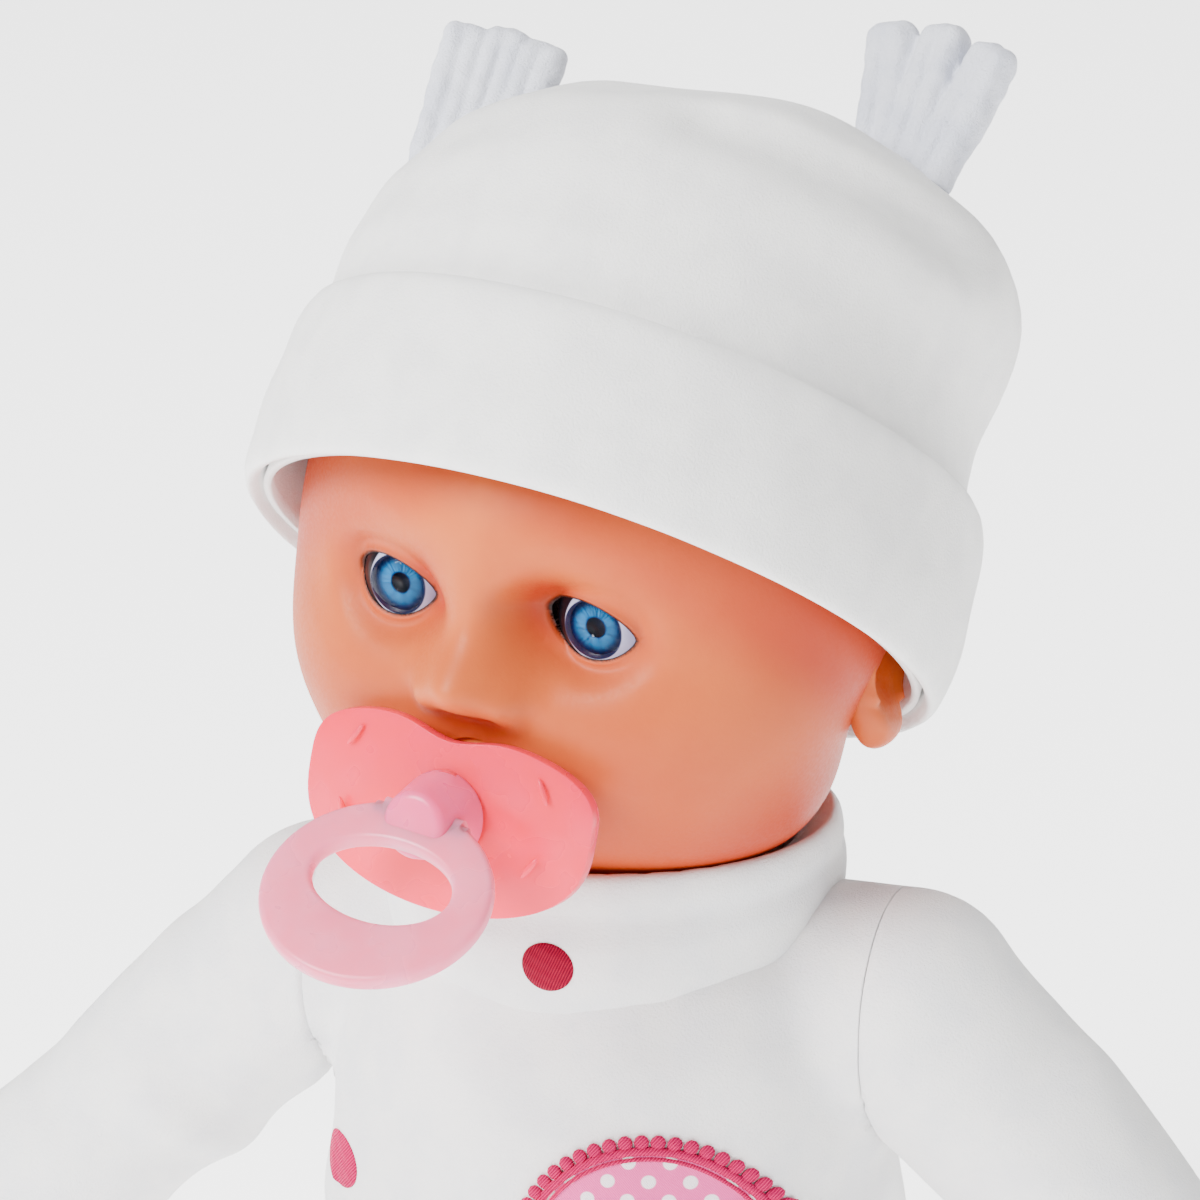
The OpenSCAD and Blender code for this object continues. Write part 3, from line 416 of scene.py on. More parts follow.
def makeIris(side):
    look = Finish("iris" + sideWords[side][0], Specular_IOR_Level=0.0)
    x, y, _ = look.split(look.spot(eyePlace(side)))
    radius = (x * x + y * y) ** 0.5 / eyes["iris"]
    angle = look.compute("ARCTAN2", y, x)
    turn = look.add("ShaderNodeCombineXYZ", {}, angle * 9.0, radius * 1.2, 0.0)
    streak = look.noise(turn, 1.0, 4.0, 0.65)
    fine = look.noise(look.add("ShaderNodeCombineXYZ", {}, angle * 26.0, radius * 1.6, 3.0), 1.0, 2.0)
    blue = look.mix(look.ramp(streak * 0.6 + fine * 0.4, 0.36, 0.62), "062654", "3484BA")
    for uneven, low, high, colour in ((0.16, 0.66, 1.0, "0A1C48"), (0.08, 0.5, 0.38, "123C74"),
                                      (0.0, 0.4, 0.34, "05060C"), (0.0, 0.93, 0.99, "0A1230")):
        blue = look.mix(look.ramp(radius + streak * uneven, low, high), blue, colour)
    return look.drive(Base_Color=blue, Roughness=0.25)


def makeEyeWhite(side):
    look = Finish("eyeWhite" + sideWords[side][0], Roughness=0.3, Specular_IOR_Level=0.1)
    x, y, _ = look.split(look.spot(eyePlace(side)))
    veins = look.noise(look.spot(), 0.35, 3.0)
    white = look.mix(look.ramp(veins, 0.4, 0.7), "A9A6BC", "9693AC")
    # darker towards +x on both eyes: painted shade on one side of each eye white
    white = look.mix(look.ramp(x, 3.0, 7.5), white, "7C7896")
    # black crescent on the -x side of each eye, beyond about 7 from an off-centre point: painted shadow of the
    # gap between lid and ball
    edge = ((x - 1.9) * (x - 1.9) + (y - 0.4) * (y - 0.4)) ** 0.5
    white = look.mix(look.ramp((x * x + y * y) ** 0.5, 5.1, 4.9), white, "0A1230")
    return look.drive(Base_Color=look.mix(look.ramp(edge, 6.75, 7.05), white, "0B0B12"))


def makeGlass():
    look = Finish("eyeGlass")
    clear = look.add("ShaderNodeBsdfTransparent", {})
    shine = look.add("ShaderNodeBsdfGlossy", {}, Roughness=0.04)
    facing = look.add("ShaderNodeLayerWeight", {}, 0.5, output=1)
    return look.end(look.add("ShaderNodeMixShader", {}, facing ** 4 * 0.4 + 0.006, clear, shine))


eyeGlass = makeGlass()


def makePrint():
    look = Finish("dottedPrint", Roughness=0.85, Specular_IOR_Level=0.15)
    where = look.spot()
    x, _, z = look.split(where)
    step, size = 6.4, 1.1
    spots = None
    for shift in (0.0, 0.5):
        u, v = (look.compute("WRAP", wire + shift * step, step / 2, -step / 2) for wire in (x, z))
        spot = look.ramp((u * u + v * v) ** 0.5, size + 0.15, size - 0.1)
        spots = spot if spots is None else look.compute("MAXIMUM", spots, spot)
    weave = look.add("ShaderNodeTexWave", {"bands_direction": "DIAGONAL"}, Vector=where, Scale=1.3)
    pink = look.mix(look.ramp(weave, 0.2, 0.8), "F263A8", "EA5098")
    return look.drive(Base_Color=look.mix(spots, pink, "FBEFF4"), Normal=look.bump(weave, 0.08))


dottedPrint = makePrint()


def threadFinish(name, colour, shade, angle):
    look = Finish(name, Roughness=0.6, Specular_IOR_Level=0.08)
    where = look.spot(turnBy("Y", angle))
    satin = look.add("ShaderNodeTexWave", {"bands_direction": "X"}, Vector=where, Scale=0.75, Distortion=1.2,
                     Detail=2.0, Detail_Scale=0.6)
    rows = look.add("ShaderNodeTexWave", {"bands_direction": "Z"}, Vector=where, Scale=0.16, Distortion=0.6)
    return look.drive(Base_Color=look.mix(look.ramp(satin, 0.1, 0.8), shade, colour),
                      Normal=look.bump(satin + rows * 0.6, 0.22))


crimsonThread = threadFinish("crimsonThread", "A80034", "6C0022", 25)
pinkThread = threadFinish("pinkThread", "DC1464", "A80A48", 40)
print("finishes ready")


# head

headSize = {"halfWidth": 51.0, "halfDepth": 43.0, "up": 58.0, "down": 49.0}
headMiddle = Vector((0, -4, -2))
mouth = {"bore": 7.4, "open": 7.0, "reach": 24, "deep": -12}
neck = {"hole": 20.4, "radius": 21, "below": 150,
        "collar": ((21, 117), (26, 117), (26, 114), (18, 114), (18, 134))}    # radius and height
# angle round, angle up, spread round, spread up, height in millimetres
faceForms = [(0, -10.5, 7.2, 6.8, 8.2), (0, 2, 7, 10, 3.2), (9, -13, 4.5, 5, 2.0), (21, 1, 16, 11, -3.5),
             (55, -20, 30, 15, 3), (0, -42, 18, 11, 2), (18, 22, 26, 12, 1.5), (180, -50, 60, 14, -1),
             (70, -28, 22, 15, -2.0), (110, -26, 32, 17, -6.5)]
fineForms = [(0, -12.5, 5.5, 4, 2.2), (4.2, -18, 2.2, 2.0, -1.0), (13.5, -14, 2.0, 4, -0.8),
             (8.8, -14.5, 3.6, 3.4, 2.4), (0, -22, 3.0, 5, -0.6), (34, -22, 12, 10, 0.8)]


def lidOutline():    # how far the almond's edge lies in each direction, by degrees
    edge = [0.0] * 361
    for step in range(2000):
        turn = pi * step / 1000
        u = cos(turn)
        tall = eyes["upper"] if step < 1000 else -eyes["lower"]
        u, v = eyes["wide"] * u, tall * (1 - u * u) ** 0.64 + 0.3
        edge[round(degrees(atan2(v, u))) % 360] = hypot(u, v)
    edge[360] = edge[0]
    return edge


lidEdge = lidOutline()


def climb(direction):    # degrees up
    return degrees(asin(max(-1, min(1, direction.z))))


def headReach(direction, forms):
    azimuth, rise = bearing(direction), climb(direction)
    low = direction.z < 0
    power = 3 if low else 2
    level = hypot(direction.x / headSize["halfWidth"], direction.y / headSize["halfDepth"])
    up = abs(direction.z) / headSize["down" if low else "up"]
    reach = (level ** power + up ** power) ** (-1 / power)
    for around, high, wide, tall, height in forms:
        tallShare = hump(rise - high, tall)
        if tallShare < 0.001:
            continue
        wideShare = hump(azimuth - around, wide) + (hump(azimuth + around, wide) if around else 0)
        reach += height * tallShare * wideShare
    return reach


def eyeView(point, side):    # outward, up and forward from the eye's middle
    outward = side * point.x - eyes["apart"] / 2
    back = point.y - eyes["depth"]
    yaw = radians(eyes["yaw"][side])
    return (outward * cos(yaw) + back * sin(yaw), point.z,
            outward * sin(yaw) - back * cos(yaw))


def eyeReturn(u, v, w, side):
    yaw = radians(eyes["yaw"][side])
    outward = u * cos(yaw) + w * sin(yaw)
    back = u * sin(yaw) - w * cos(yaw)
    return Vector((side * (outward + eyes["apart"] / 2), back + eyes["depth"], v))


def lidShare(u, v, side):    # 1 on the edge of the opening
    roll = radians(eyes["roll"] * side)
    u, v = (u - eyes["shift"][side][0]) / eyes["stretch"][side], v - eyes["shift"][side][1]
    u, v = u * cos(roll) - v * sin(roll), u * sin(roll) + v * cos(roll)
    angle = degrees(atan2(v, u)) % 360
    low = int(angle)
    edge = lidEdge[low] + (lidEdge[low + 1] - lidEdge[low]) * (angle - low)
    return hypot(u, v) / edge


def lidNear(point, ahead=False):    # the smaller share of the two eyes, or of those behind the point
    views = [(eyeView(point, side), side) for side in (1, -1)]
    return min(9 if ahead and w < 0 else lidShare(u, v, side) for (u, v, w), side in views)


def makeHead():
    shape = newShape("create_icosphere", subdivisions=6, radius=1)

    def refine(test):
        edges = [e for e in shape.edges if test(e.verts[0].co) and test(e.verts[1].co)]
        ops.subdivide_edges(shape, edges=edges, cuts=1, use_grid_fill=True)
        ops.triangulate(shape, faces=[f for f in shape.faces if len(f.verts) > 3])
        for vert in shape.verts:
            vert.co.normalize()

    refine(lambda d: d.y < -0.6 and -0.55 < d.z < 0.35)
    for limit in (1.9, 1.45):
        refine(lambda d: d.y < 0 and lidNear(headMiddle + d * 44) < limit)
    blushAndShade, rim, line = skinLayers(shape)
    mouthInverse = (headPlace.inverted() @ mouthPlace).inverted()
    forms = faceForms + fineForms
    for vert in shape.verts:
        direction = vert.co.copy()
        point = headMiddle + direction * headReach(direction, forms)
        rise, aside = climb(direction), abs(bearing(direction))
        # blush on the cheeks
        warmthAndShade = 0.12 + 0.3 * hump(aside - 34, 20) * hump(rise + 24, 16)
        # painted shade under the nose, and blush with painted shade beside the bridge of the nose
        warmthAndShade += 0.6 * hump(aside, 11) * hump(rise + 18.5, 3) + 0.3 * hump(aside - 12, 6) * hump(rise - 1, 8)
        # painted shade under the chin
        warmthAndShade += 0.6 * hump(rise + 48, 17)
        # painted shadow of the hat's brim across the forehead, and painted shade towards the sides of the head
        warmthAndShade += 0.5 * ease(14, 0, 36 - 0.55 * aside - rise) + 0.5 * ease(35, 85, aside)
        if direction.y < 0:
            for side in (1, -1):
                u, v, w = eyeView(point, side)
                share = lidShare(u, v, side)
                if w < 0 or share > 3.2:
                    continue
                if abs(share - 1) < 0.04:
                    middle = eyes["shift"][side]
                    u, v = middle[0] + (u - middle[0]) / share, middle[1] + (v - middle[1]) / share
                    share = 1.0
                flat = hypot(u, v)
                ball = sqrt(max(0.0, eyes["ball"] ** 2 - min(flat, 8.6) ** 2))
                # inside the opening the skin turns back behind the ball and is painted near black: painted
                # shade of the gap round the eye
                if share < 1:
                    w = ball - 0.3 - 4.5 * ease(1.0, 0.7, share)
                    vert[rim] = 1
                elif share < 2.2:
                    lid = max(ball, 4.9) + 0.15 + 0.8 * ease(1.0, 1.13, share)
                    w = lid + (w - lid) * ease(1.04, 2.1, share)
                    # a thin dark lid line along the edge, partly painted shade of the gap under the lid
                    vert[rim] = max(vert[rim], ease(1.12 if v > 0 else 1.08, 1.03, share))
                # a small groove over the lid with a painted shade line along it, and a brown lid line along the
                # upper edge of the opening
                crease = hypot(u / 9.0, (v - 0.4) / 6.6)
                fade = ease(0.5, 3.5, v) * hump(u, 9)
                w -= 0.3 * hump(crease - 1, 0.06) * fade
                vert[line] = max(vert[line], 0.15 * hump(crease - 1, 0.08) * fade,
                                 0.6 * ease(1.35, 1.04, share) * ease(-5.5, -1.5, v))
                # blush with painted shade in the hollow at the eye's inner corner and round the lids
                warmthAndShade += 0.7 * hump(u + 7.8, 4.2) * hump(v - 2.5, 5.0) + 0.35 * ease(2.0, 1.1, share)
                point = eyeReturn(u, v, w, side)
        seen = mouthInverse @ point
        fromMouth = hypot(seen.x, seen.y)
        if fromMouth < mouth["reach"] and seen.z > mouth["deep"]:
            bore = mouth["bore"]
            if abs(fromMouth - bore) < 0.7:
                seen.x, seen.y = drawnTo(seen, bore)
                fromMouth = bore
            seen.z *= 1 - hump(max(0.0, fromMouth - 9.5), 2.8 if seen.y > 0 else 5)
            seen.z += 1.5 * hump(fromMouth - 10.0, 2.4)
            point = mouthInverse.inverted() @ seen
            warmthAndShade += 0.4 * hump(fromMouth - 9, 4)
        vert[blushAndShade] = min(1.0, warmthAndShade)
        vert.co = point
    around = [v for v in shape.verts if v.co.y < -20 and abs(v.co.x) > 9 and 1.14 < lidNear(v.co, True) < 3]
    nose = [v for v in shape.verts if v.co.y < -40 and abs(v.co.x) <= 14 and -16.5 < v.co.z < 20
            and 1.14 < lidNear(v.co)]
    soften(shape, around, 22)
    soften(shape, nose, 7)
    holes = []
    for vert in shape.verts:
        seen, under = mouthInverse @ vert.co, headPlace @ vert.co
        if (hypot(seen.x, seen.y) < mouth["open"] and seen.z > mouth["deep"] - 2
                or hypot(under.x, under.y) < neck["hole"] and under.z < neck["below"]):
            holes.append(vert)
    ops.delete(shape, geom=holes, context="VERTS")
    shape.transform(headPlace)
    edge = [e for e in shape.edges if e.is_boundary and e.verts[0].co.z < neck["below"]
            and hypot(e.verts[0].co.x, e.verts[0].co.y) < neck["radius"] + 3]
    for vert in {v for e in edge for v in e.verts}:
        vert.co.x, vert.co.y = drawnTo(vert.co, neck["radius"])
    for radius, height in neck["collar"]:
        fresh, edge = growRim(shape, edge)
        for vert in fresh:
            vert.co = (*drawnTo(vert.co, radius), height)
    faceOut(shape)
    return makePiece(shape, "headSkin", vinylSkin, "head", "head_shell")


ear = {"place": (44.6, 4.5, -12), "outward": 6, "lean": -14, "thick": 3.8, "deep": 9.0, "tall": 15}


def makeEar(side):
    shape = newBall(64, 48)
    blushAndShade = skinLayers(shape)[0]
    for vert in shape.verts:
        p = vert.co.copy()
        far = hypot(p.y, p.z)
        out = p.x > 0
        # blush with painted shade in the ear's hollow
        vert[blushAndShade] = 0.35 + (0.3 if out else 0.0) * ease(0.8, 0.3, far)
        helix = hump(far - 0.86, 0.16) * (0.9 if p.z > -0.5 else 0.35)
        bowl = hump(hypot(p.y + 0.1, p.z - 0.15), 0.5)
        lobe = ease(-0.25, -0.8, p.z)
        p.x = p.x * (ear["thick"] + 1.6 * lobe) + (2.2 * helix - 3.0 * bowl if out else 0) + 2.4 * lobe
        p.y = p.y * (ear["deep"] - 0.5 * ease(-0.3, -1, p.z))
        p.z *= ear["tall"]
        vert.co = p
    place = headPlace @ stretchBy(side, 1, 1) @ moveBy(*ear["place"])
    place = place @ turnBy("Z", ear["outward"]) @ turnBy("X", ear["lean"])
    makePiece(shape, "ear" + sideWords[side][0], vinylSkin, "head", place=place)


def makeEye(side):
    word, tail = sideWords[side]
    place = eyePlace(side)
    front = sqrt(eyes["ball"] ** 2 - (eyes["iris"] + 0.5) ** 2)
    ball = newBall(64, 96, eyes["ball"])
    for vert in ball.verts:
        around = hypot(vert.co.x, vert.co.y)
        if vert.co.z > 0 and around < eyes["iris"] + 0.05:
            vert.co.z = front - eyes["irisDeep"] - 0.1
    makePiece(ball, "eyeBall" + word, makeEyeWhite(side), "head", "eye_ball_" + tail, place)
    disc = newShape("create_circle", cap_ends=True, segments=64, radius=eyes["iris"])
    face = disc.faces[:]
    for _ in range(4):
        ops.inset_region(disc, faces=face, thickness=1.0, depth=-0.08)
    ops.solidify(disc, geom=disc.faces, thickness=0.3)
    ops.translate(disc, verts=disc.verts, vec=(0, 0, front - 0.35))
    faceOut(disc)
    makePiece(disc, "iris" + word, makeIris(side), "head", "eye_iris_" + tail, place)
    lens = newBall(48, 96, eyes["ball"])
    trim(lens, (0, 0, front + 0.1), (0, 0, 1), clear_inner=True)
    ops.holes_fill(lens, edges=[e for e in lens.edges if e.is_boundary])
    faceOut(lens)
    makePiece(lens, "eyeLens" + word, eyeGlass, "head", "eye_lens_" + tail, place)


headPiece = makeHead()
for side in (1, -1):
    makeEar(side)
    makeEye(side)
print("head ready")


# hat

brim = {"inner": 55.8, "high": 30.0, "thick": 5.0}
crownLine = [(55.7, 0), (55.7, 40), (53.2, 53), (46.2, 66), (33.2, 74), (17.2, 78), (0, 79)]


def alongCrown(share):    # radius and height along the side of the crown
    lengths = [dist(crownLine[i], crownLine[i + 1]) for i in range(len(crownLine) - 1)]
    left = share * sum(lengths)
    for i, length in enumerate(lengths):
        if left <= length or i == len(lengths) - 1:
            t = min(1, left / length)
            return [crownLine[i][k] + (crownLine[i + 1][k] - crownLine[i][k]) * t for k in (0, 1)]
        left -= length


def slump(point):    # how the soft crown sags and puckers
    angle = bearing(point)
    up = ease(20, 60, point.z)
    out = hypot(point.x, point.y)
    away = Vector((point.x, point.y, 0)) / max(out, 1e-3)
    fold = 0.9 * wander(point, 26, 3.1) + 0.4 * wander(point, 12, 8.4)
    valley = hump(point.z - 62 + 0.05 * (angle - 45), 3.4) * ease(4, 20, angle) * ease(88, 66, angle)
    side = hump(angle - 85, 45)
    waist = 5.0 * hump(point.z - 40, 11) - 4.5 * hump(point.z - 60, 7)
    moved = point + away * (fold * up - 5.0 * valley - waist * side)
    moved.z += 1.2 * up * wander(point, 30, 5.5) + 5.6 * ease(-8, 26, point.x) * ease(50, 68, point.z)
    moved.z += 1.6 * hump((Vector((-8, -24, 74)) - point).length, 13) * up
    moved.z -= 2.0 * hump((Vector((3, -20, 76)) - point).length, 9) * up
    return moved


def makeCrown():
    rows = 60
    shape = lathe([alongCrown(i / rows) for i in range(rows + 1)], 120, False, 0.05)
    for _ in range(6):
        soften(shape, [v for v in shape.verts if v.co.z > 44], 1)
    for vert in shape.verts:
        vert.co = slump(vert.co)
    faceOut(shape)
    piece = makePiece(shape, "hatCrown", hatVelour, "hat", "hat_crown", hatPlace)
    layCloth(piece, 0.0013)


def makeBrim():
    inner, thick, high = brim["inner"], brim["thick"], brim["high"]
    outline = [(inner, 1.5), (inner + thick * 0.3, -1.6), (inner + thick * 0.75, -1.6), (inner + thick, 1.5),
               (inner + thick + 0.5, high * 0.35), (inner + thick + 0.4, high * 0.65),
               (inner + thick, high - 5), (inner + thick * 0.8, high - 1.2), (inner + thick * 0.35, high),
               (inner + 0.1, high - 2), (inner, high * 0.5)]
    piece = makeBand(outline, "hatBrim", hatVelour, "hat", "hat_brim")
    for vert in piece.data.vertices:
        point = vert.co * 1000
        out = hypot(point.x, point.y)
        away = Vector((point.x, point.y, 0)) / out
        outer = ease(inner + 0.5, inner + thick, out)
        wave = 0.9 * wander(point, 30, 1.7) + 0.35 * wander(point, 9, 6.2)
        point += away * wave * outer + Vector((0, 0, 0.8 * wander(point, 34, 9.9) * outer))
        side = hump(abs(bearing(point)) - 85, 45)
        point -= away * side * (1.4 * outer + 1.2 * ease(8, 24, point.z))
        vert.co = hatPlace @ point * 0.001


tassels = {1: {"loops": 3, "step": 5.6, "long": 24.0, "fan": 11.0, "level": 0.5, "out": 31.0, "around": 8,
               "lift": 8.0},
           -1: {"loops": 3, "step": 5.6, "long": 21.0, "fan": 3.0, "level": 1.0, "out": 43.5, "around": 13,
                "lift": 2.5}}


def makeTassel(side):    # three folded loops of fleece side by side
    tassel = tassels[side]
    out, line = tassel["out"], crownLine[::-1]

    def crownHeight(r):
        for (r0, z0), (r1, z1) in zip(line, line[1:]):
            if r <= r1:
                return z0 + (z1 - z0) * (r - r0) / (r1 - r0)
    shape = bmesh.new()
    for i in range(tassel["loops"]):
        off = i - (tassel["loops"] - 1) / 2
        root = out + off * tassel["step"]
        long = tassel["long"] + tassel["level"] * (crownHeight(out) - crownHeight(root)) + 0.8 * (i == 1)
        place = moveBy(root, 0, crownHeight(root) + tassel["lift"] - 3) @ turnBy("Y", off * tassel["fan"])
        for shift in (-1.75, 1.75):
            addTube(shape, place @ moveBy(shift, 0, 0) @ stretchBy(1, 1.35, 1), 2.2, 2.6, long - 2.2, 20)
            addBall(shape, place @ moveBy(shift, 0, long - 2.4), (2.6, 3.4, 2.5), 20)
        addBall(shape, place @ moveBy(0, 0, long - 2.6), (3.2, 3.2, 2.9), 20)
    shape = fuse(shape, 0.5, 3)
    for vert in shape.verts:
        vert.co += vert.normal * (0.35 * wander(vert.co, 2.6, 2.0) + 0.3 * wander(vert.co, 7, 4.0))
    place = hatPlace @ stretchBy(side, 1, 1) @ turnBy("Z", -tassel["around"])
    word, tail = sideWords[side]
    piece = makePiece(shape, "tassel" + word, tasselFleece, "hat", "hat_tassel_" + tail, place)


makeCrown()
makeBrim()
for side in (1, -1):
    makeTassel(side)
print("hat ready")


# pacifier

shield = {"wide": 51.0, "up": 12.8, "down": 17.3, "thick": 2.2, "back": 6.6, "bow": 75.0,
          "shift": (-1.2, -2.4, 0)}
hub = {"root": 7.5, "tip": 5.2, "long": 8.4, "round": 1.2}
ring = {"radius": 19, "squash": 0.9, "holeWide": 12, "holeHigh": 7.4, "holeShift": 1.9, "thick": 3,
        "round": 1.1, "middle": 14.8, "bar": 1.4, "barHalf": 8.1, "gapHalf": 6.6, "gapEnd": 1.5}


def shieldPoint(angle):
    x, y = cos(angle), sin(angle)
    if y > 0:
        tall = shield["up"] * (y ** 0.6 - 0.2 * exp(-(x / 0.28) ** 2))
    else:
        tall = -shield["down"] * (-y) ** 0.7
    return Vector((shield["wide"] / 2 * x, tall, 0))


def bowed(point, rise):    # curves the flat shield round the face
    along = hypot(point.x, point.y)
    drop = shield["bow"] - sqrt(shield["bow"] ** 2 - along ** 2)
    return Vector((point.x, point.y, shield["back"] + rise - drop))


def makeShield():
    shape = newShape("create_circle", cap_ends=True, segments=96, radius=1)
    for vert in shape.verts:
        vert.co = shieldPoint(atan2(vert.co.y, vert.co.x))
    face = shape.faces[:]
    for thickness in (1.0, 1.4, 2.0, 2.6):
        ops.inset_region(shape, faces=face, thickness=thickness, use_even_offset=True)
    ops.triangulate(shape, faces=face)
    extruded = ops.extrude_face_region(shape, geom=shape.faces[:])
    top = set(onlyVerts(extruded["geom"]))
    for vert in shape.verts:
        vert.co = bowed(vert.co, shield["thick"] if vert in top else 0.0)
    for x in (-17, 17):
        for y in (6.5, -6.0):    # small raised vents
            rise = bowed(Vector((x, y, 0)), shield["thick"]).z
            addBall(shape, moveBy(x, y, rise) @ turnBy("Z", -60 if x * y > 0 else 60), (2.3, 0.6, 0.55), 12)
    ops.translate(shape, verts=shape.verts, vec=shield["shift"])
    faceOut(shape)
    piece = makePiece(shape, "pacifierShield", clearPink, "pacifier", "pacifier_shield",
                      pacifierPlace)
    addModifier(piece, "BEVEL", "edge", width=0.0008, segments=3, limit_method="ANGLE")


def roundEdges(shape, sharp, width):
    edges = [e for e in shape.edges if e.calc_face_angle(0) > sharp]
    ops.bevel(shape, geom=edges, offset=width, segments=4, profile=0.5, affect="EDGES", material=-1)


def makeHub():
    shape = bmesh.new()
    long = shield["thick"] + hub["long"]
    addTube(shape, moveBy(0, -4, shield["back"] + 0.6), hub["root"], hub["tip"], long, 48)
    roundEdges(shape, 0.8, hub["round"])
    makePiece(shape, "pacifierHub", hubPink, "pacifier", place=pacifierPlace)


def makeRing():
    shape = newShape("create_circle", cap_ends=False, segments=96, radius=ring["radius"])
    ops.scale(shape, verts=shape.verts, vec=(1, ring["squash"], 1))
    outer = shape.edges[:]
    inner = ops.create_circle(shape, cap_ends=False, segments=96, radius=1)["verts"]
    for vert in inner:
        vert.co = Vector((vert.co.x * ring["holeWide"], vert.co.y * ring["holeHigh"] - ring["holeShift"], 0))
    innerEdges = [e for e in shape.edges if e not in set(outer)]
    ops.bridge_loops(shape, edges=outer + innerEdges)
    made = ops.extrude_face_region(shape, geom=shape.faces[:])
    ops.translate(shape, verts=onlyVerts(made["geom"]), vec=(0, 0, ring["thick"]))
    faceOut(shape)
    roundEdges(shape, 1.0, ring["round"])
    ops.translate(shape, verts=shape.verts, vec=(0, ring["middle"], -ring["thick"] / 2))
    end, half = ring["gapEnd"], ring["gapHalf"]
    for vert in shape.verts:    # the band opens where its bar crosses the hub
        if vert.co.y < end and abs(vert.co.x) < half:
            vert.co.x = copysign(half + 0.1 * (end - vert.co.y), vert.co.x)
    bar, reach = ring["bar"], ring["barHalf"]
    addTube(shape, moveBy(-reach, 0, 0) @ turnBy("Y", 90), bar, bar, reach * 2, 24)
    makePiece(shape, "pacifierPull", palePink, "ring", "pacifier_ring", ringPlace)


makeShield()
makeHub()
makeRing()
print("pacifier ready")


# suit

# share of the height, shares of width and depth, and how far back the middle lies
torsoLevels = [(0, 0.72, 0.50, 14), (0.05, 0.86, 0.68, 10), (0.14, 0.94, 0.84, 6), (0.28, 0.99, 0.96, 2),
               (0.45, 1.00, 1.00, 0), (0.66, 0.97, 0.97, 0), (0.82, 0.93, 0.92, 0), (0.93, 0.84, 0.86, 1),
               (1.00, 0.66, 0.78, 4)]


def torsoLevel(share):
    for low, high in zip(torsoLevels, torsoLevels[1:]):
        if share <= high[0]:
            t = (share - low[0]) / (high[0] - low[0])
            return [low[k] + (high[k] - low[k]) * t for k in (1, 2, 3)]
    return list(torsoLevels[-1][1:])


def hipRoof(y):    # lowest a torso point may lie over the legs
    back, radius = y - leg["forward"], 24.4
    if back > 0:
        return leg["high"] + sqrt(max(0.0, radius ** 2 - back ** 2)) if back < radius else 0.0
    return leg["high"] + 24.5 - back * tan(radians(8))


torsoSize = {"halfWide": 47, "halfDeep": 39, "high": 121, "cloth": 1.6, "square": 0.85}
sleeveSize = {"root": 19.2, "cap": 19.6, "seam": 19.4, "cuff": 15.6, "long": 84, "cut": 82.0, "hole": 19.8,
              "rim": 19.6, "play": 0.3}
cuffRows = (14.6, 1.6), (12.4, 2.4), (10.9, 1.2), (10.7, -4)    # radius, and distance past the cut
lipRows = (17.9, 0.1), (17.6, 3.5)    # radius, and distance inside the armhole


def makeGarment():
    shape = newBall(64, 48)
    for vert in shape.verts:
        p = vert.co
        share = 0.5 + asin(max(-1, min(1, p.z))) / pi
        wide, deep, back = torsoLevel(share)
        around = hypot(p.x, p.y)
        if around > 1e-6:
            flat = min(1.0, ease(0, 0.05, share) * ease(1, 0.97, share) * 1.2)
            x, y = p.x / around, p.y / around
            square, cloth = torsoSize["square"], torsoSize["cloth"]
            p.x = copysign(abs(x) ** square, x) * (torsoSize["halfWide"] * wide + cloth) * flat
            p.y = copysign(abs(y) ** square, y) * (torsoSize["halfDeep"] * deep + cloth) * flat + back
        else:
            p.y = back
        p.z = share * torsoSize["high"] + 0.1
    seam = sleeveSize["seam"]
    for side in (1, -1):
        addBall(shape, armPlace(side), (sleeveSize["cap"],) * 3, 40)
        addTube(shape, armPlace(side), sleeveSize["root"], sleeveSize["cuff"], sleeveSize["long"], 48)
        addTube(shape, moveBy(0, 0, shoulderHeight) @ turnBy("Y", side * 90), seam, seam, 50, 48)
    shape = fuse(shape, 1.7, 8)
    for vert in shape.verts:
        p = vert.co
        if abs(p.x) > 3.0 and abs(p.x) < 49 and p.z < 60:
            roof = hipRoof(p.y)
            if p.z < roof and p.y < 12.4:
                p.z = max(p.z, min(roof, p.z + 60))
        out = abs(p.x) - 40
        fold = 0.9 * wander(p, 22, 1.3) + 0.5 * wander(Vector((p.x, p.y * 0.6, p.z)), 11, 4.7)
        soft = ease(118, 106, p.z) * 0.8 + 0.2
        normal = vert.normal
        p += normal * fold * soft
        if out > 0:
            along = hypot(abs(p.x) - shoulderOut, p.z - shoulderHeight)
            p += normal * 0.8 * sin(along / 5.2 + 2.2 * wander(p, 20, 7.7)) * ease(14, 34, along)
        roundShoulder(p)
    return shape


def roundShoulder(p):    # the armhole is a circle round the shoulder's axis, with the torso's side inside it
    reach = hypot(p.y, p.z - shoulderHeight)
    most = sleeveSize["hole"] + 1.6 * max(0, abs(p.x) - armHole)
    if abs(p.x) > armHole - 0.3 and reach > most:
        if abs(p.x) < shoulderOut and reach > 27:
            p.x = copysign(armHole - 0.4, p.x)
        else:
            p.y *= most / reach
            p.z = shoulderHeight + (p.z - shoulderHeight) * most / reach


def cutPart(whole, planes):
    part = whole.copy()
    for point, normal in planes:
        trim(part, point, normal, clear_outer=True)
    return part


def closeCuff(part, tip, axis):    # gathers the sleeve in round the wrist
    rim = [e for e in part.edges if e.is_boundary and all((v.co - tip).dot(axis) > -2 for v in e.verts)]
    for radius, along in cuffRows:
        fresh, rim = growRim(part, rim)
        for vert in fresh:
            offset = vert.co - tip
            offset -= axis * offset.dot(axis)
            pucker = 0.35 * sin(14 * atan2(offset.y, offset.z)) if along > 0 else 0
            vert.co = tip + offset.normalized() * (radius + pucker) + axis * along


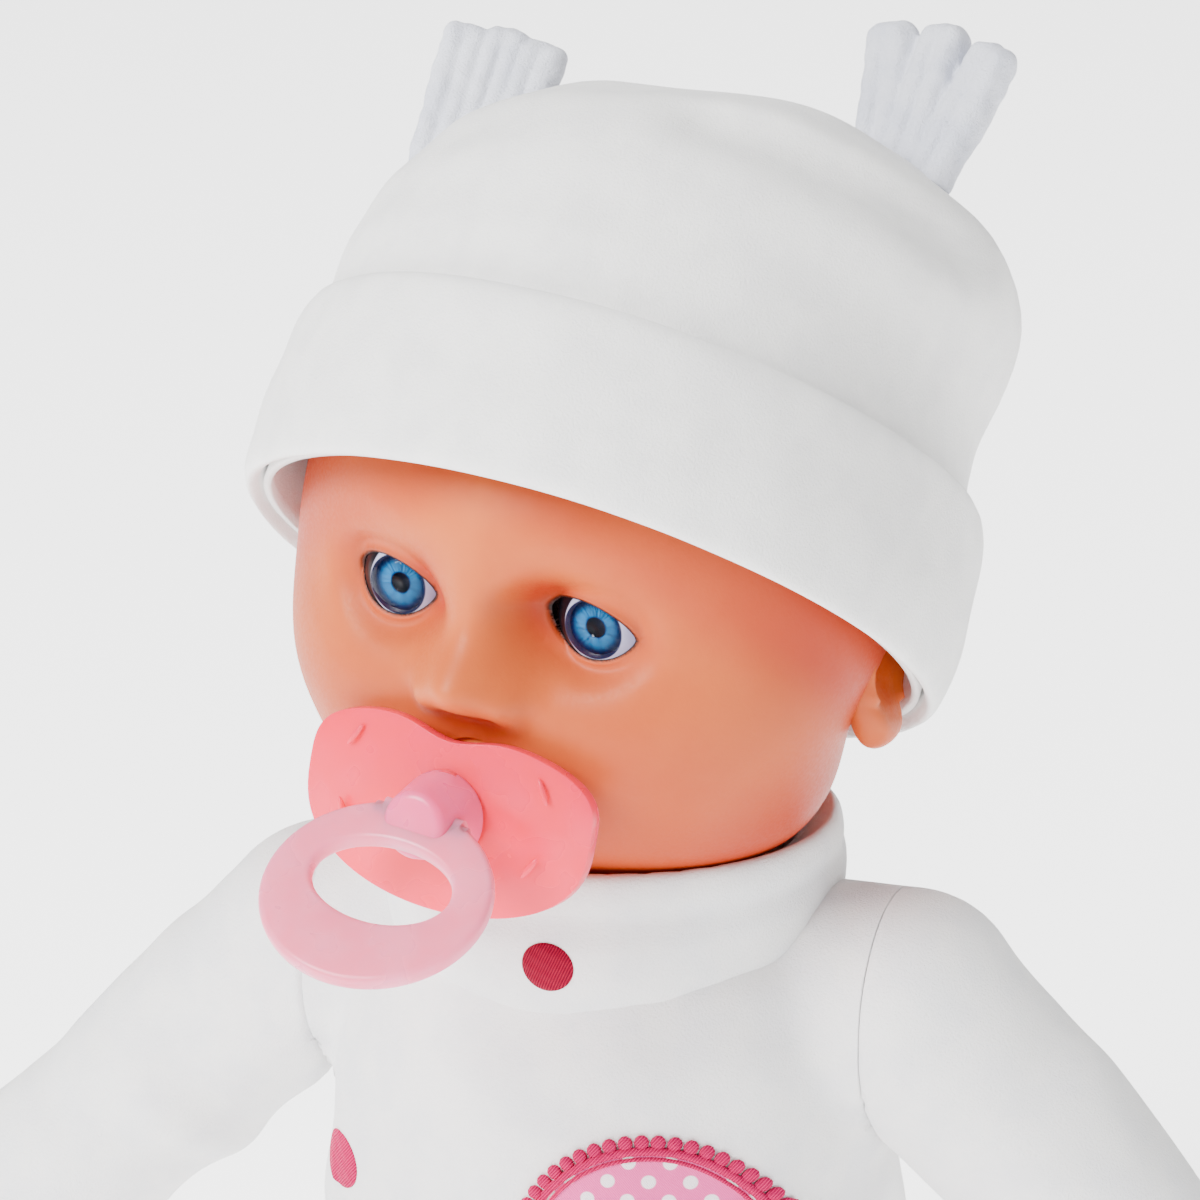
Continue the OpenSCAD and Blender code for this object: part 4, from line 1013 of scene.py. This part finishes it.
def tuckShoulder(part, side):    # a lip inside the round shoulder seam, so that no gap opens as the arm turns
    rim = [e for e in part.edges if e.is_boundary and all(abs(v.co.x) < armHole + 0.5 for v in e.verts)]
    for vert in {v for e in rim for v in e.verts}:
        flat = Vector((vert.co.y, vert.co.z - shoulderHeight))
        flat *= min(1, sleeveSize["rim"] / flat.length)
        vert.co = Vector((side * (armHole + sleeveSize["play"]), flat.x, flat.y + shoulderHeight))
    for radius, inward in lipRows:
        fresh, rim = growRim(part, rim)
        for vert in fresh:
            flat = Vector((vert.co.y, vert.co.z - shoulderHeight)).normalized() * radius
            vert.co = Vector((side * (armHole - inward), flat.x, flat.y + shoulderHeight))


def makeSuit():
    whole = makeGarment()
    torso = cutPart(whole, [((armHole, 0, 0), (1, 0, 0)), ((-armHole, 0, 0), (-1, 0, 0))])
    ops.delete(torso, context="VERTS", geom=[v for v in torso.verts
                                                   if v.co.z > 112 and hypot(v.co.x, v.co.y) < 31])
    body = makePiece(torso, "suitBody", whiteVelour, "torso", "suit_torso")
    layCloth(body)
    for side in (1, -1):
        arm = armPlace(side)
        tip = arm @ Vector((0, 0, sleeveSize["cut"]))
        axis = ((arm @ Vector((0, 0, 1))) - (arm @ Vector((0, 0, 0)))).normalized()
        part = cutPart(whole, [((side * armHole, 0, 0), (-side, 0, 0)), (tip, axis)])
        closeCuff(part, tip, axis)
        tuckShoulder(part, side)
        word, tail = sideWords[side]
        sleeve = makePiece(part, "sleeve" + word, whiteVelour, "arm_" + tail,
                           "suit_sleeve_" + tail)
        layCloth(sleeve)
    whole.free()
    return body


def makeLeg(side):
    shape = bmesh.new()
    place = legPlace(side)
    hip = moveBy(side * 5.0, leg["forward"], leg["high"]) @ turnBy("Y", side * 90)
    addTube(shape, hip, 22.9, 22.9, 38.4, 48)
    addTube(shape, place, 22.6, 17.0, leg["long"], 48)
    for forward, along, size in ((0, leg["long"], (17.6,) * 3), (13.5, 105, (15.6, 28.2, 13.2)),
                                 (24, 104, (13.6, 15.5, 12.0))):
        addBall(shape, place @ moveBy(0, forward, along), size, 40)
    shape = fuse(shape, 1.6, 7)
    inverse = place.inverted()
    for vert in shape.verts:
        seen = inverse @ vert.co
        along = ease(10, 40, seen.z)
        push = 0.7 * wander(vert.co, 20, 2.9) + 0.35 * wander(vert.co, 9, 5.1)
        push += 0.55 * sin(seen.z / 4.6 + 2.4 * wander(vert.co, 18, 8.8)) * along * ease(98, 80, seen.z)
        vert.co += vert.normal * (push * along + 0.4)
        vert.co.z = max(vert.co.z, 0.15)
    word, tail = sideWords[side]
    piece = makePiece(shape, "trouser" + word, whiteVelour, "leg_" + tail, "suit_leg_" + tail)


collar = {"rim": 134.5, "under": 0.35, "turns": range(-37, 54, 9)}


def makeCollar(headTree):
    outline = [(33.0, -8), (35.2, -9), (37.0, -5), (38.0, -1), (38.4, 3), (38.2, 7), (37.3, 9.2), (35.6, 9.6),
               (33.2, 8.2), (30.7, 6.5), (30.0, 4.5), (30.6, 0), (31.6, -4)]
    piece = makeBand(outline, "collarBand", whiteVelour, "torso", "suit_collar")
    for vert in piece.data.vertices:
        point = vert.co * 1000
        flat = Vector((point.x, point.y, 0))
        top = ease(-2, 8, point.z)
        seam = hump(point.z - 4.4, 0.8) * ease(34, 36, flat.length)
        wave = 0.5 * wander(point, 16, 3.3) * (1 - top) + 0.25 * wander(point, 7, 1.9)
        point += flat.normalized() * (wave - 0.8 * seam)
        point = collarPlace @ point
        point.z += top * (collar["rim"] + 0.5 * wander(point, 24, 7.1) + 2.5 * ease(24, 34, point.y)
                          - (collarPlace @ Vector((vert.co.x * 1000, vert.co.y * 1000, 9.6))).z)
        if top > 0.3:    # stays just under the chin however the head is turned
            for turn in collar["turns"]:
                start = turnBy("Z", -turn) @ Vector((point.x, point.y, 112))
                hit = headTree.ray_cast(start, Vector((0, 0, 1)))[0]
                if hit and hit.z > 126:
                    point.z = min(point.z, hit.z - collar["under"])
        vert.co = point * 0.001
    return piece


def clothTree(piece):
    shape = fromMesh(piece.data)
    tree = BVHTree.FromBMesh(shape)
    shape.free()
    return tree


def layOn(shape, tree, lift, front=True):    # drawn in X and Z, with its height along -Y
    aim = Vector((0, 1 if front else -1, 0))
    for vert in shape.verts:
        height = -vert.co.y
        hit, normal, _, _ = tree.ray_cast(Vector((vert.co.x, -200 if front else 200, vert.co.z)), aim)
        if hit:
            vert.co = hit + normal * ((height + lift) * (-1 if normal.dot(aim) > 0 else 1))


# middle, radius, number of scallops and lowest point on the suit
patch = {"x": 19.0, "z": 68.0, "radius": 22.6, "beads": 54, "lowest": 53.4}


def liftLow(shape):    # the patch's lower edge flattens where the belly rests on the thighs
    start, under = patch["lowest"] + 5, patch["z"] - patch["radius"] - 1
    for vert in shape.verts:
        if vert.co.z < start:
            vert.co.z = start - (start - vert.co.z) * (start - patch["lowest"]) / (start - under)


def makePatch(tree):
    middle = moveBy(patch["x"], 0, patch["z"])
    field = newShape("create_grid", x_segments=44, y_segments=44, size=patch["radius"])
    field.transform(turnBy("X", 90))
    reach = patch["radius"] - 2.3
    ops.delete(field, context="VERTS", geom=[v for v in field.verts if v.co.length > reach + 0.6])
    field.transform(middle)
    liftLow(field)
    layOn(field, tree, 0.5)
    cloth = makePiece(field, "patchPrint", dottedPrint, "torso", "suit_patch")
    layCloth(cloth)
    edge = bmesh.new()
    for k in range(patch["beads"]):
        turn = tau * k / patch["beads"]
        spot = middle @ moveBy(cos(turn) * (reach + 1.5), 0, sin(turn) * (reach + 1.5))
        addBall(edge, spot @ turnBy("Y", -degrees(turn)), (1.3, 0.75, 1.2), 10)
    for radius, wide, high in ((reach, 0.7, 0.75), (reach - 1.3, 0.35, 0.5)):
        rim = ops.create_circle(edge, cap_ends=False, segments=10, radius=1)["verts"]
        ops.transform(edge, matrix=middle @ moveBy(radius, 0, 0) @ stretchBy(wide, high, 1), verts=rim)
        line = list({e for v in rim for e in v.link_edges})
        ops.spin(edge, geom=rim + line, cent=middle.translation, axis=(0, 1, 0), angle=tau, steps=108,
                       use_merge=True)
    ops.remove_doubles(edge, verts=edge.verts, dist=0.001)
    liftLow(edge)
    layOn(edge, tree, 0.5)
    faceOut(edge)
    makePiece(edge, "patchEdge", pinkThread, "torso")


dots = {"chest": (-39, 74.5, 9), "collar": (2.2, 118.4, 8.6)}    # across, height above the floor, diameter


def makeDot(name, tree, x, z, across, material, instead=None):
    shape = bmesh.new()
    addBall(shape, moveBy(x, 0, z), (across / 2, 0.7, across / 2), 40)
    layOn(shape, tree, 0.1)
    faceOut(shape)
    makePiece(shape, name, material, "torso", instead)


backStrip = {"halfWide": 9, "halfHigh": 37, "middle": 63}


def makeBackStrip(tree):
    shape = newShape("create_grid", x_segments=18, y_segments=74, size=1)
    size = stretchBy(backStrip["halfWide"], backStrip["halfHigh"], 1)
    shape.transform(moveBy(0, 0, backStrip["middle"]) @ turnBy("X", 90) @ size)
    layOn(shape, tree, 0.5, front=False)
    strip = makePiece(shape, "backStrip", whiteVelour, "torso", "suit_back_strip")
    layCloth(strip)


bodyTree = clothTree(makeSuit())
for side in (1, -1):
    makeLeg(side)
collarTree = clothTree(makeCollar(clothTree(headPiece)))
makePatch(bodyTree)
makeDot("chestDot", bodyTree, *dots["chest"], pinkThread, "suit_dots")
makeDot("collarDot", collarTree, *dots["collar"], crimsonThread)
makeBackStrip(bodyTree)
print("suit ready")


# hands

hand = {"start": 80.0, "palm": (6.2, 12.0, 13.0), "finger": 3.2, "long": 13.0}


def addLimb(shape, start, end, radius1, radius2):
    for k in range(9):
        t = k / 8
        radius = radius1 + (radius2 - radius1) * t
        addBall(shape, Matrix.Translation(Vector(start).lerp(Vector(end), t)), (radius,) * 3, 16)


def makeHand(side):
    shape = bmesh.new()
    base, finger = hand["start"], hand["finger"]
    addTube(shape, moveBy(0, 0, base - 8), 9.4, 9.4, 16, 32)
    addBall(shape, moveBy(0, 0, base + 13), hand["palm"], 32)
    addBall(shape, moveBy(2.6, -6.5, base + 9), (5.0, 5.5, 7.0), 24)
    for k in range(4):
        out = hand["long"] - abs(k - 1.4) * 2
        knuckle, joint = (0, -7.6 + 5.1 * k, base + 20), (1.2, -7.9 + 5.25 * k, base + 20 + out * 0.5)
        addLimb(shape, knuckle, joint, finger, finger - 0.25)
        addLimb(shape, joint, (3.6, -8 + 5.3 * k, base + 20 + out), finger - 0.3, finger - 0.6)
    addLimb(shape, (1, -8, base + 8), (4, -13.5, base + 18), 3.7, 3.1)    # the thumb
    shape = fuse(shape, 0.62, 3)
    blushAndShade = skinLayers(shape)[0]
    for vert in shape.verts:
        p = vert.co
        fold = sum(hump(p.z - z, 0.45) for z in (base + 22, base + 27)) * ease(0, 2, abs(p.x))
        vert.co += vert.normal * (-0.25 * fold - 0.3 * hump(p.z - base - 1, 0.8))
        # pinker towards the fingertips as blush, and darker in the finger creases as painted shade
        vert[blushAndShade] = min(1.0, 0.25 + 0.35 * ease(base + 26, base + 33, p.z) + 0.2 * fold)
    word, tail = sideWords[side]
    makePiece(shape, "hand" + word, vinylSkin, "hand_" + tail, "hand_" + tail, armPlace(side))


for side in (1, -1):
    makeHand(side)
print("hands ready")


# finishes of the pieces kept from the drawing

keptFinishes = {
    stuffedCloth: "torso_body arm_body_left arm_body_right leg_body_left leg_body_right",
    whitePlastic: "neck_tie wrist_tie_left wrist_tie_right neck_plug case_front case_back cell_door",
    blackPlastic: "mouth_sensor speaker speaker_cone power_switch",
    brushedSteel: "pacifier_magnet case_screws button_spring cells cell_contacts door_screw",
    vinylSkin: "mouth_cup",
    redLead: "sensor_lead sensor_lead_foot",
    clearPink: "pacifier_teat",
    boardGreen: "circuit_board",
    buttonPink: "tummy_button",
}
for material, nodes in keptFinishes.items():
    for node in nodes.split():
        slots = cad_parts[node].data.materials
        slots.clear()
        slots.append(material)
print("kept pieces finished")


# floor, lights and camera

glow = {"world": 0.42, "floor": 2.6}


def makeFloor():
    shape = newShape("create_grid", x_segments=2, y_segments=2, size=6000)
    look = Finish("paleFloor", Roughness=0.9, Base_Color=(0.93, 0.93, 0.93, 1), Specular_IOR_Level=0.1,
                  Emission_Color=(1, 1, 1, 1), Emission_Strength=glow["floor"])
    floor = makePiece(shape, "floor", look.material, None)


# place and size in metres, power in watts; each light looks at the doll's middle
lights = {"keyLight": ((-0.7, -1.1, 1.1), 0.8, 56), "fillLight": ((1.1, -0.9, 0.7), 0.9, 2),
          "topLight": ((0.1, 0.5, 1.5), 0.9, 10)}


def addLight(name, place, size, power):
    light = bpy.data.lights.new(name, "AREA")
    light.shape, light.size, light.energy = "DISK", size, power
    lamp = addObject(name, light)
    lamp.location = place
    lamp.rotation_euler = (Vector(place) - Vector((0, 0, 0.15))).to_track_quat("Z", "Y").to_euler()


def makeCamera():
    view = {"around": 20.0, "above": 20.0, "away": 0.95, "aim": (0, 0, 0.12), "lens": 172.0,
            "shift": (-15 / 1200, 280 / 1200)}
    a, e = radians(view["around"]), radians(view["above"])
    back = Vector((sin(a) * cos(e), -cos(a) * cos(e), sin(e)))
    right = Vector((cos(a), sin(a), 0))
    up = back.cross(right)
    data = bpy.data.cameras.new("camera")
    data.sensor_width, data.lens, data.clip_end = 36, view["lens"], 50
    data.shift_x, data.shift_y = view["shift"]
    camera = addObject("camera", data)
    turned = Matrix((right, up, back)).transposed().to_4x4()
    camera.matrix_world = Matrix.Translation(Vector(view["aim"]) + back * view["away"]) @ turned
    scene.camera = camera


makeFloor()
world = bpy.data.worlds.new("softWorld")
world.use_nodes = True
world.node_tree.nodes["Background"].inputs[0].default_value = (1, 1, 1, 1)
world.node_tree.nodes["Background"].inputs[1].default_value = glow["world"]
scene.world = world
for name, (place, size, power) in lights.items():
    addLight(name, place, size, power)
makeCamera()
print("stage ready")
